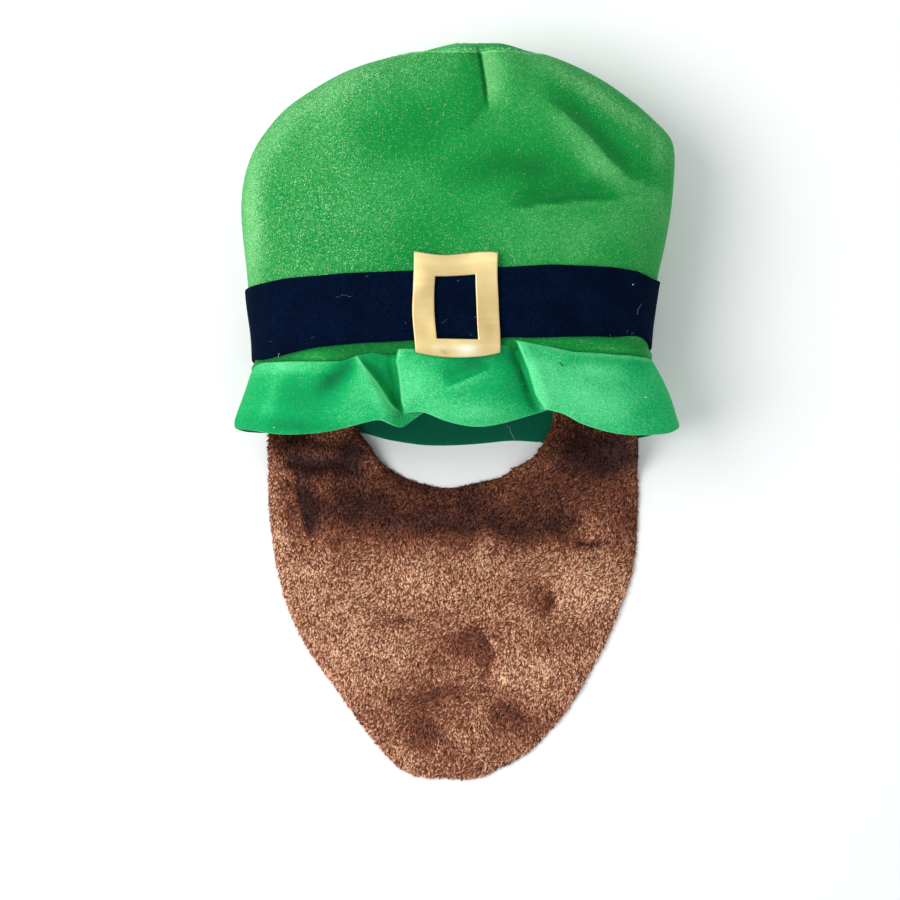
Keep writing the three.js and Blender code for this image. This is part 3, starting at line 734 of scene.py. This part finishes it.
# Painted highlights on the bent lower edge, painted shade in a small crease there, darker spots at
# the feet of the side rails, a lighter streak along the top rail, and all a little darker
tones(buckle, (
    (5.5, 41.0, 7, 3, 0, 0.45),
    (-12, 41.5, 5, 2.5, 0, 0.15),
    (-19.9, 51.3, 3.5, 5, 0, -0.16),
    (18.4, 51.3, 3.5, 5, 0, -0.14),
    (-8.1, 39.5, 2.4, 0.9, -30, -0.30),
    (8, 93, 16, 2, 2, 0.12),
), 0.04, 16 * MM, -0.07)
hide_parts("buckle")
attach(buckle, "root")


# Brim: a ring of velour sewn double over foam and turned at the hem, sewn to the crown's mouth.
# Its front has flopped over into two soft folds.
brim = soft_copy("brim", "brim_velour", levels=2, rim=0.3)
FLOPPED_ABOVE = 0.078
LOOKS_DOWN = -0.3


def brim_front(co, normal):
    return co.z > FLOPPED_ABOVE and normal.z > LOOKS_DOWN


finer(brim, brim_front)
brim_spots = ripple(points_of(brim))

# It swells over the seam in a soft roll, which hides the hem, and it bulges out past both sides
ROLL_HEIGHT = 3.2 * MM
ROLL_OVER = 1.5 * MM
ROLL_PLACE = 3.5 * MM
ROLL_WIDTH = 4.0 * MM
SEAM_REACH = 14 * MM

# The buckle presses the seam down where it lies over it
PRESS_WIDTH = 24 * MM
PRESS_REACH = 12 * MM
PRESS_DEPTH = 0.8 * MM
at_front = ease(*FRONT, brim_spots[:, 2])
below_seam = edge_line(brim_spots, np.max)(brim_spots[:, 0]) - brim_spots[:, 1]
stray = np.interp(brim_spots[:, 0], HEM_STRAY[:, 0], HEM_STRAY[:, 1])
brim_spots[:, 1] += (stray + ROLL_OVER) * at_front * (1 - ease(0, SEAM_REACH, below_seam))
under_buckle = hump(brim_spots[:, 0], PRESS_WIDTH)
roll = ROLL_HEIGHT * hump(below_seam - ROLL_PLACE, ROLL_WIDTH) * (1 - under_buckle)
pressed = PRESS_DEPTH * under_buckle * hump(below_seam, PRESS_REACH)
brim_spots[:, 2] += at_front * (roll - pressed)
brim_spots[:, 0] += side_bulge(brim_spots)

# Creases of the brim, given as for the crown: painted shade in the creases and painted highlights
# along the fold edges.
BRIM_LINES = {
    "left crease": ([(-63, 35), (-76, 24), (-86, 14)],
                    ((-3.6, 2.0, 6.0),), ((-0.38, 1.0, 6.0, 0),), (-0.2, 0.1, 0.5, 1.1)),
    "left fold": ([(-59, 37), (-47, 21.5), (-39.5, 9.6), (-32.4, 3)],
                  ((2.6, -4.0, 5.0), (-1.4, 3.0, 2.6)),
                  ((0.22, -0.3, 8.0, -1), (0.42, -0.9, 0.7, 0)), (-0.1, 0.1, 0.8, 1.0)),
    "centre edge": ([(-35, 41), (-36.5, 34.5), (-35, 24.5), (-33.5, 9.5), (-30, 4)],
                    ((2.0, 3.0, 4.0), (-1.6, -3.0, 2.6)),
                    ((0.44, 0.7, 0.8, 0), (0.16, 0.5, 10.0, 1)), (-0.1, 0.1, 0.8, 1.0)),
    "right edge": ([(35, 45), (41.5, 30), (46, 15), (52, 5.5)],
                   ((2.4, 4.0, 5.0), (-2.4, -3.0, 3.0)),
                   ((0.24, 0.3, 9.0, 1), (0.46, 0.7, 0.8, 0), (-0.24, 0.0, 11.0, -1)),
                   (-0.1, 0.1, 0.8, 1.1)),
    "centre ridge": ([(-6, 19), (6, 24), (20, 30)],
                     ((1.8, -1.0, 5.0), (-2.4, 6.0, 5.0)),
                     ((-0.34, 0.0, 10.0, 1), (0.10, 0.0, 4.0, -1)), (-0.1, 0.2, 0.7, 1.1)),
}
# Outline of the part that lies deeper between the two folds at the left, painted darker as shade
RECESS = [(-59.3, 37.1), (-36, 42), (-36.7, 34.7), (-34.9, 24.6), (-33.7, 9.7), (-32.5, 3.2),
          (-39.7, 9.7), (-47.4, 21.6)]
RECESS_DEPTH = 2.0 * MM
RECESS_PAINTED_SHADE = 0.24
EDGES_PAINTED_LIGHT = 0.24


def inside(points, outline, soft):
    """1 inside a closed outline in millimetres and 0 outside it, with a soft edge."""
    corners = np.array(outline, float) * MM
    nearest = np.full(len(points), FAR)
    crossings = np.zeros(len(points), int)
    for start, end in zip(corners, np.roll(corners, -1, axis=0)):
        step = end - start
        offset = points[:, :2] - start
        share = np.clip(offset @ step / (step @ step), 0, 1)
        nearest = np.minimum(nearest, np.linalg.norm(offset - np.outer(share, step), axis=1))
        spans = (start[1] > points[:, 1]) != (end[1] > points[:, 1])
        if step[1]:
            at = start[0] + (points[:, 1] - start[1]) / step[1] * step[0]
            crossings += spans & (points[:, 0] < at)
    return ease(-soft, soft, np.where(crossings % 2 == 1, nearest, -nearest))


brim_spots[:, 2] += along_lines(brim_spots, BRIM_LINES)[0]
at_front = ease(*FRONT, brim_spots[:, 2])
brim_spots[:, 2] -= RECESS_DEPTH * inside(brim_spots, RECESS, 1.5 * MM) * at_front
put_points(brim, brim_spots)
brim_out = normals_of(brim)
from_axis = brim_spots * np.array([1, 0, 1]) - np.array(AXIS)
from_axis /= np.linalg.norm(from_axis, axis=1)[:, None]
faces_in = -(brim_out * from_axis).sum(axis=1)
brim_painted_light = along_lines(brim_spots, BRIM_LINES)[1]
brim_painted_light -= RECESS_PAINTED_SHADE * inside(brim_spots, RECESS, 0.6 * MM) * at_front
# Painted highlights on the faces of the front that look along the hat, at the fold edges
looks_along = ease(0.4, 0.9, -brim_out[:, 1]) + ease(0.3, 0.8, brim_out[:, 1])
brim_painted_light += EDGES_PAINTED_LIGHT * at_front * looks_along
# Patches of brushed pile and of painted light and shade over the brim, given as for the crown
tones(brim, (
    (-103, 31, 22, 4, 0, 0.26),
    (-112, 14, 5, 20, -18, 0.16),
    (-92, 14, 26, 12, 0, -0.20),
    (-100, -4, 34, 6, -4, -0.28),
    (-62, 10, 10, 16, -35, 0.16),
    (-44, 14, 5, 8, -50, 0.14),
    (-20, 18, 14, 16, 0, 0.18),
    (5, 4, 30, 7, 0, 0.22),
    (20, 36, 22, 6, 10, -0.20),
    (24, 18, 14, 8, 0, -0.06),
    (78, 12, 36, 16, -20, 0.34),
    (78, 30, 30, 5, -6, 0.22),
    (106, 30, 10, 8, 30, -0.12),
    (112, 4, 14, 8, 20, -0.12),
    (66, 32, 8, 4, 0, -0.16),
), 0.06, 30 * MM, brim_painted_light)
brim.data.materials.clear()
brim.data.materials.append(velour(
    "brim_velour", colour(0, 98, 54), colour(5, 168, 92), colour(104, 226, 152),
    colour(196, 246, 200), glints=0.6))
brim.data.materials.append(velour(
    "brim_inside_painted_shade", colour(0, 70, 56), colour(2, 92, 68), colour(14, 122, 84),
    colour(40, 150, 100), glints=0.1))

# Its inner side takes a darker copy of the velour as painted shade, but the flopped front only
# does where it looks down
FACES_IN = 0.25
FACES_DOWN = -0.1
turned_in = np.array([
    np.mean(faces_in[list(face.vertices)]) > FACES_IN
    and (face.center.z < FRONT[1] or face.normal.z < FACES_DOWN)
    for face in brim.data.polygons])
brim.data.polygons.foreach_set("material_index", turned_in.astype(np.int32))
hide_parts("brim")
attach(brim, "root")


# Beard: brown plush cut to a horseshoe with two straps, which are sewn inside the hem. Its pile
# is short, clumped and brushed mostly towards the tip.
beard = soft_copy("beard", "beard_plush", levels=3, rim=0.4)
beard_spots = points_of(beard)
on_top = ease(0.0, 0.5, normals_of(beard)[:, 2])
for lump_height, lump_size, lump_offset in ((0.7, 9, 1.0), (0.35, 3.5, 2.0)):
    beard_lumps = waves(points_of(beard), lump_size * MM, lump_offset)
    beard_spots[:, 2] += on_top * lump_height * MM * beard_lumps
# Patches of brushed pile and of painted shade in its dents and folds: place, reach across and
# along, turn in degrees and how much lighter. The same amounts dent or lift the plush.
BEARD_PATCHES = (
    (-95, -12, 26, 8, 0, -0.32),
    (-88, -27, 22, 5, -4, -0.26),
    (-69, -22, 8, 11, 0, -0.34),
    (-95, -52, 8, 24, 5, -0.26),
    (-114, -58, 6, 42, 3, 0.28),
    (-40, -52, 62, 26, 0, -0.34),
    (45, -62, 45, 20, 0, -0.28),
    (18, -67, 46, 6, -4, -0.16),
    (-20, -46, 20, 4, 12, 0.10),
    (86, -17, 28, 16, 0, -0.44),
    (102, -21, 11, 8, 0, -0.22),
    (108, -62, 7, 28, 0, -0.10),
    (64, -63, 7, 8, 20, -0.26),
    (83, -64, 14, 7, 0, 0.24),
    (84, -77.5, 12, 2.4, -8, -0.34),
    (84, -105, 20, 24, 0, 0.34),
    (-32, -95, 16, 13, 0, 0.20),
    (36, -103, 24, 8, -8, -0.16),
    (57, -115, 10, 8, -30, -0.40),
    (-37, -126, 13, 4, -8, -0.32),
    (8, -143, 13, 15, -35, -0.36),
    (29, -156, 2.5, 12, 0, 0.28),
    (-54.6, -155.5, 6, 4, 20, -0.28),
    (-8, -173, 34, 5, 6, -0.30),
    (-24, -197, 13, 12, 0, -0.28),
    (35, -188, 15, 9, -20, -0.32),
    (60, -140, 10, 6, 20, -0.12),
    (-10, -190, 30, 18, 0, -0.08),
    (4, -195, 12, 5, 20, 0.16),
    (54, -158, 20, 13, 30, 0.22),
    (-90, -110, 14, 30, 15, 0.14),
    (-60, -140, 24, 20, 0, 0.16),
    (0, -110, 60, 22, 0, 0.14),
)
# Creases of the plush, given as for the crown: painted shade in each crease and painted light
# beside some.
BEARD_LINES = {
    "strap crease": ([(-108, -23), (-90, -28), (-73, -25), (-63, -13)], ((-1.4, 0.0, 3.0),),
                     ((-0.20, 0.0, 4.0, 0), (-0.10, 0.0, 9.0, -1)), (-0.1, 0.1, 0.9, 1.1)),
    "left crease": ([(-104, -28), (-101, -50), (-94, -76)], ((-1.2, 1.5, 4.0),),
                    ((-0.22, 0.0, 9.0, 1), (0.12, 0.0, 6.0, -1)), (-0.1, 0.1, 0.7, 1.1)),
    "cheek crease": ([(73, -74), (84, -78.5), (97, -77)], ((-0.9, 0.0, 2.0),),
                     ((-0.34, 0.0, 1.6, 0), (0.16, 0.5, 6.0, -1)), (-0.1, 0.2, 0.8, 1.1)),
    "chin crease": ([(14, -128), (25, -147), (20, -166)], ((-0.9, 0.0, 3.0),),
                    ((-0.20, 0.0, 9.0, -1), (0.14, 0.0, 4.0, 1)), (-0.1, 0.2, 0.8, 1.1)),
    "low crease": ([(-6, -186), (6, -195)], ((-0.8, 0.0, 2.0),),
                   ((-0.30, 0.0, 1.5, 0),), (-0.1, 0.2, 0.8, 1.1)),
    "right crease": ([(62, -104), (63, -118), (55, -128)], ((-0.9, 0.0, 3.0),),
                     ((-0.14, 0.0, 9.0, -1), (0.12, 0.0, 5.0, 1)), (-0.1, 0.2, 0.8, 1.1)),
}
BEARD_DENT = 4 * MM
BEARD_STRAY = 6 * MM
EVERYWHERE = (-1.0, -0.5)
ABOVE_TABLE = 0.2 * MM
beard_stray = np.stack([waves(beard_spots, 15 * MM, k) for k in (31.0, 37.0)], axis=1)
beard_stray += 0.5 * np.stack([waves(beard_spots, 6 * MM, k) for k in (41.0, 43.0)], axis=1)
beard_places = beard_spots[:, :2] + BEARD_STRAY * beard_stray
beard_pile_and_painted_light = patched(beard_places, BEARD_PATCHES)
beard_lift, beard_crease_painted_light = along_lines(beard_spots, BEARD_LINES, EVERYWHERE)
beard_spots[:, 2] += on_top * (BEARD_DENT * beard_pile_and_painted_light + beard_lift)
beard_pile_and_painted_light += beard_crease_painted_light
beard_spots[:, 2] = np.maximum(beard_spots[:, 2], ABOVE_TABLE)
put_points(beard, beard_spots)

# Its pile is darker from the straps to the chin and lighter from there to the tip
TIP_HALF = (-0.092, -0.055)
TIP_LIGHTER = 0.17
BEARD_DARKER = 0.04
tip_half = 1 - ease(*TIP_HALF, beard_spots[:, 1])
tones(beard, (), 0.14, 26 * MM, beard_pile_and_painted_light + TIP_LIGHTER * tip_half - BEARD_DARKER)
plush, plush_tree, plush_shader = material(
    "beard_plush", Roughness=0.9, Specular_IOR_Level=0.1, Sheen_Weight=0.1, Sheen_Roughness=0.45,
    Sheen_Tint=(0.75, 0.5, 0.38, 1.0))
plush_pile = add(plush_tree, "ShaderNodeGroup", node_tree=pile_group)
plush_pile.inputs["Tuft"].default_value = 1.8 * MM
# The plush's tone carries its brushing and the painted shade and light of its patches and creases
plush_brushed_and_painted_light = add(plush_tree, "ShaderNodeAttribute", attribute_name="tone").outputs["Fac"]
plush_tone = times(plush_tree, plush_brushed_and_painted_light,
                   reach(plush_tree, plush_pile.outputs["Tone"], 0.0, 1.0, -0.4, 0.2), "ADD")
plush_tree.links.new(
    blended(plush_tree, reach(plush_tree, plush_tone, 0.0, 1.0),
            colour(38, 14, 16), colour(150, 92, 66)),
    plush_shader.inputs["Base Color"])
plush_bump = add(plush_tree, "ShaderNodeBump", {
    "Height": plush_pile.outputs["Height"], "Strength": 0.7, "Distance": 1.2 * MM})
plush_tree.links.new(plush_bump.outputs[0], plush_shader.inputs["Normal"])
beard.data.materials.clear()
beard.data.materials.append(plush)

# The pile itself: short curved tufts, rooted all over the upper face and the edge of the plush
TUFTS = 56000
TUFT_LENGTH = 2.4 * MM
TUFT_WIDTH = 0.95 * MM
TUFT_SIZES = (0.7, 1.25)
TUFT_HEADING = -math.pi * 0.64
TUFT_TURN = 0.35
ROOT_DEPTH = 0.4 * MM
TUFT_SPREAD = 0.27
LEAST_TONE = 0.08

# How far the middle and the tip of a tuft lie along the cloth and above it, in tuft lengths, and
# how light it is at the two points of its root, darkened as painted shade deep in the pile, the two
# of its middle and its tip, lightened as a painted highlight
MIDDLE_AT = (0.42, 0.46)
TIP_AT = (0.95, 0.50)
TUFT_ROOT_SHADE_TIP_LIGHT = np.array([[0.06, 0.06, 0.85, 0.85, 1.5]])
TUFT_DARKER = np.array([[0, 0, 0.06, 0.06, 0]])
draw = np.random.default_rng(17)


def scattered(piece, count, least_up):
    """Random places over the faces of a piece that look up, with their normals and tones."""
    piece.data.calc_loop_triangles()
    corners = np.empty(len(piece.data.loop_triangles) * 3, np.int32)
    piece.data.loop_triangles.foreach_get("vertices", corners)
    corners = corners.reshape(-1, 3)
    points = points_of(piece)
    tone = np.empty(len(points), np.float32)
    piece.data.attributes["tone"].data.foreach_get("value", tone)
    a, b, c = (points[corners[:, k]] for k in range(3))
    cross = np.cross(b - a, c - a)
    area = np.linalg.norm(cross, axis=1)
    up = cross / np.maximum(area, 1e-15)[:, None]
    area = np.where(up[:, 2] > least_up, area, 0)
    face = draw.choice(len(area), size=count, p=area / area.sum())
    first, second = draw.random((2, count))
    folded = first + second > 1
    first, second = np.where(folded, 1 - first, first), np.where(folded, 1 - second, second)
    third = 1 - first - second
    weights = np.stack([first, second, third], axis=1)
    places = (points[corners[face]] * weights[:, :, None]).sum(axis=1)
    return places, up[face], (tone[corners[face]] * weights).sum(axis=1)


roots, root_up, root_tone = scattered(beard, TUFTS, -0.2)
swirl = waves(roots, 26 * MM, 9.0) * 1.1 + waves(roots, 9 * MM, 14.0) * 0.7
heading = TUFT_HEADING + swirl + draw.normal(0, TUFT_TURN, TUFTS)
flat_lay = np.stack([np.cos(heading), np.sin(heading), np.zeros(TUFTS)], axis=1)
flat_lay -= root_up * (flat_lay * root_up).sum(axis=1)[:, None]
flat_lay /= np.maximum(np.linalg.norm(flat_lay, axis=1), 1e-9)[:, None]
across = np.cross(root_up, flat_lay)
tuft_size = draw.uniform(*TUFT_SIZES, TUFTS)[:, None]
half_width = across * TUFT_WIDTH / 2 * tuft_size
start = roots - root_up * ROOT_DEPTH
middle, tip = (
    start + (flat_lay * out + root_up * up) * TUFT_LENGTH * tuft_size
    for out, up in (MIDDLE_AT, TIP_AT))
tuft_points = np.stack([
    start - half_width, start + half_width, middle + half_width, middle - half_width, tip], axis=1)
tuft_points[:, :, 2] = np.maximum(tuft_points[:, :, 2], ABOVE_TABLE)
base = 5 * np.arange(TUFTS)[:, None]
quads = base + np.array([[0, 1, 2, 3]])
tips = base + np.array([[3, 2, 4]])
pile_mesh = bpy.data.meshes.new("beard_pile")
pile_mesh.from_pydata(tuft_points.reshape(-1, 3).tolist(), [], quads.tolist() + tips.tolist())
pile_mesh.polygons.foreach_set("use_smooth", [True] * len(pile_mesh.polygons))
tuft_lean = 0.12 * waves(roots, 60 * MM, 30.0)
tuft_spread = draw.normal(0, TUFT_SPREAD, TUFTS) * (0.15 + root_tone)
tuft_tones = np.maximum(root_tone + tuft_lean + tuft_spread, LEAST_TONE)[:, None]
store(pile_mesh, "tone", tuft_tones * TUFT_ROOT_SHADE_TIP_LIGHT - TUFT_DARKER)
beard_pile = bpy.data.objects.new("beard_pile", pile_mesh)
bpy.context.scene.collection.objects.link(beard_pile)
tuft_plush, tuft_tree, tuft_shader = material(
    "beard_tufts", Roughness=0.62, Specular_IOR_Level=0.25, Sheen_Weight=0.08,
    Sheen_Tint=(0.8, 0.55, 0.42, 1.0))
tuft_tone = add(tuft_tree, "ShaderNodeAttribute", attribute_name="tone").outputs["Fac"]
tuft_low = blended(tuft_tree, reach(tuft_tree, tuft_tone, 0.0, 0.55),
                   colour(38, 13, 15), colour(170, 100, 70))
tuft_tree.links.new(
    blended(tuft_tree, reach(tuft_tree, tuft_tone, 0.55, 1.0), tuft_low, colour(255, 208, 168)),
    tuft_shader.inputs["Base Color"])
pile_mesh.materials.append(tuft_plush)
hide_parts("beard")
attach(beard, "root")
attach(beard_pile, "root")


# Lint: pale hairs and specks of fluff that cling to the velour, dimmer ones on the felt, one loose
# hair at the back of the brim, and two dark nicks.

# Each has its place in millimetres, length, turn in degrees, bend and thickness
PALE_LINT = (
    (65.7, 170.5, 3.0, 60, 0.2, 0.22), (-48.2, 181.8, 2.2, -60, 0.1, 0.30),
    (49.6, 171.7, 1.5, 20, 0.2, 0.25), (35.9, 159.2, 1.2, 70, 0.0, 0.25),
    (39.5, 144.9, 1.2, -20, 0.0, 0.25), (71.0, 183.5, 1.3, 10, 0.0, 0.25),
    (107.9, 164.5, 1.5, 50, 0.2, 0.25), (79.4, 165.7, 1.0, 0, 0.0, 0.25),
    (-7.2, 186.4, 3.2, 66, 0.2, 0.22), (-8.6, 181.4, 2.8, 70, -0.2, 0.22),
    (-11.7, 176.2, 1.8, 40, 0.2, 0.35), (-17.6, 184.2, 1.5, 0, 0.0, 0.35),
    (-30.1, 183.5, 2.0, -50, 0.1, 0.28), (-65.9, 188.3, 1.9, -40, 0.1, 0.30),
    (-67.6, 105.6, 1.2, 30, 0.0, 0.28), (32.4, 95.0, 7.0, -62, 0.35, 0.28),
    (105.0, 81.0, 1.4, 20, 0.2, 0.40), (-107.0, 38.6, 2.8, 62, 0.2, 0.24),
    (-86.0, 96.0, 1.1, 30, 0.0, 0.35), (-104.0, 108.0, 1.0, 0, 0.0, 0.35),
    (113.1, 13.4, 1.9, 10, 0.0, 0.80), (38.2, 20.7, 1.0, 0, 0.0, 0.45),
    (73.0, 47.0, 1.0, 20, 0.0, 0.40), (93.0, 42.8, 1.0, 0, 0.0, 0.40),
    (-110.0, -4.6, 1.2, 30, 0.0, 0.60), (33.9, -7.1, 10.0, -65, 0.3, 0.30),
)
DIM_LINT = (
    (-66.9, 72.6, 11.0, 2, 0.15, 0.20), (-53.4, 84.2, 2.2, 30, 0.3, 0.20),
    (-64.3, 87.5, 3.4, 80, 0.4, 0.30), (109.0, 66.6, 8.0, 52, 0.25, 0.26),
    (105.0, 51.8, 2.0, 10, 0.2, 0.22), (101.6, 52.6, 2.4, 60, 0.3, 0.20),
    (90.9, 50.0, 1.8, -40, 0.2, 0.20), (-30.5, 56.6, 1.4, 0, 0.0, 0.28),
    (-86.0, 48.2, 2.6, 25, 0.8, 0.22), (-112.0, 47.0, 1.3, 0, 0.0, 0.24),
    (0.2, 81.3, 1.3, 0, 0.0, 0.30), (-7.5, 57.5, 4.0, 30, 0.3, 0.18),
    (10.2, 60.1, 1.2, 40, 0.0, 0.25), (7.8, 49.5, 1.3, 0, 0.0, 0.28),
)
DARK_LINT = ((61.2, 32.6, 3.4, -42, 0.0, 0.55), (2.4, 172.2, 0.9, 0, 0.0, 0.80))
HAIR_STEPS = 6
HAIR_LIFT = 0.35 * MM


def ground(x, y):
    """Highest point of the hat's cloth at a place, and the way that it faces there."""
    hits = [tree.ray_cast(Vector((x, y, 1.0)), Vector((0, 0, -1))) for tree in cloth_trees]
    return max((hit for hit in hits if hit[0] is not None), key=lambda hit: hit[0].z)[:2]


def hairs(rows, shade, points, faces, shades):
    """Adds thin three-sided tubes that lie on the cloth to lists of points and faces."""
    for x, y, length, turn, bend, thick in rows:
        spot, up = ground(x * MM, y * MM)
        angle = math.radians(turn)
        run = Vector((math.cos(angle), math.sin(angle), 0))
        run = (run - up * run.dot(up)).normalized()
        beside = up.cross(run)
        first = len(points)
        for k in range(HAIR_STEPS):
            t = k / (HAIR_STEPS - 1) - 0.5
            sway = bend * length * (0.25 - t * t) + 0.06 * length * math.sin(9 * t + turn)
            centre = spot + up * HAIR_LIFT + (run * t * length + beside * sway) * MM
            radius = thick * MM / 2 * (1 - 1.5 * t * t)
            for side in range(3):
                way = math.radians(120 * side)
                points.append(centre + (beside * math.cos(way) + up * math.sin(way)) * radius)
        for k in range(HAIR_STEPS - 1):
            row = first + 3 * k
            for side in range(3):
                other = (side + 1) % 3
                faces.append((row + side, row + other, row + 3 + other, row + 3 + side))
        faces.append((first + 2, first + 1, first))
        faces.append((len(points) - 3, len(points) - 2, len(points) - 1))
        shades.extend([shade] * (len(faces) - len(shades)))


cloth_trees = [tree_of(piece) for piece in (crown, band, brim)]
hair_points, hair_faces, hair_shades = [], [], []
hairs(PALE_LINT, 0, hair_points, hair_faces, hair_shades)
hairs(DARK_LINT, 1, hair_points, hair_faces, hair_shades)
hairs(DIM_LINT, 2, hair_points, hair_faces, hair_shades)
lint_mesh = bpy.data.meshes.new("lint")
lint_mesh.from_pydata([tuple(p) for p in hair_points], [], hair_faces)
lint_mesh.polygons.foreach_set("use_smooth", [True] * len(hair_faces))
lint_mesh.polygons.foreach_set("material_index", hair_shades)
for lint_name, first_shade, second_shade in (
    ("pale_lint", colour(176, 216, 178), colour(250, 252, 246)),
    ("dark_nick", colour(2, 26, 14), colour(10, 58, 32)),
    ("dim_lint", colour(34, 58, 78), colour(132, 150, 156)),
):
    lint_paint, lint_tree, lint_shader = material(lint_name, Roughness=0.7)
    lint_speck = add(lint_tree, "ShaderNodeTexNoise", {
        "Scale": 400.0, "Detail": 1.0}).outputs["Fac"]
    lint_tree.links.new(
        blended(lint_tree, reach(lint_tree, lint_speck, 0.35, 0.65), first_shade, second_shade),
        lint_shader.inputs["Base Color"])
    lint_mesh.materials.append(lint_paint)
lint = bpy.data.objects.new("lint", lint_mesh)
bpy.context.scene.collection.objects.link(lint)
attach(lint, "root")
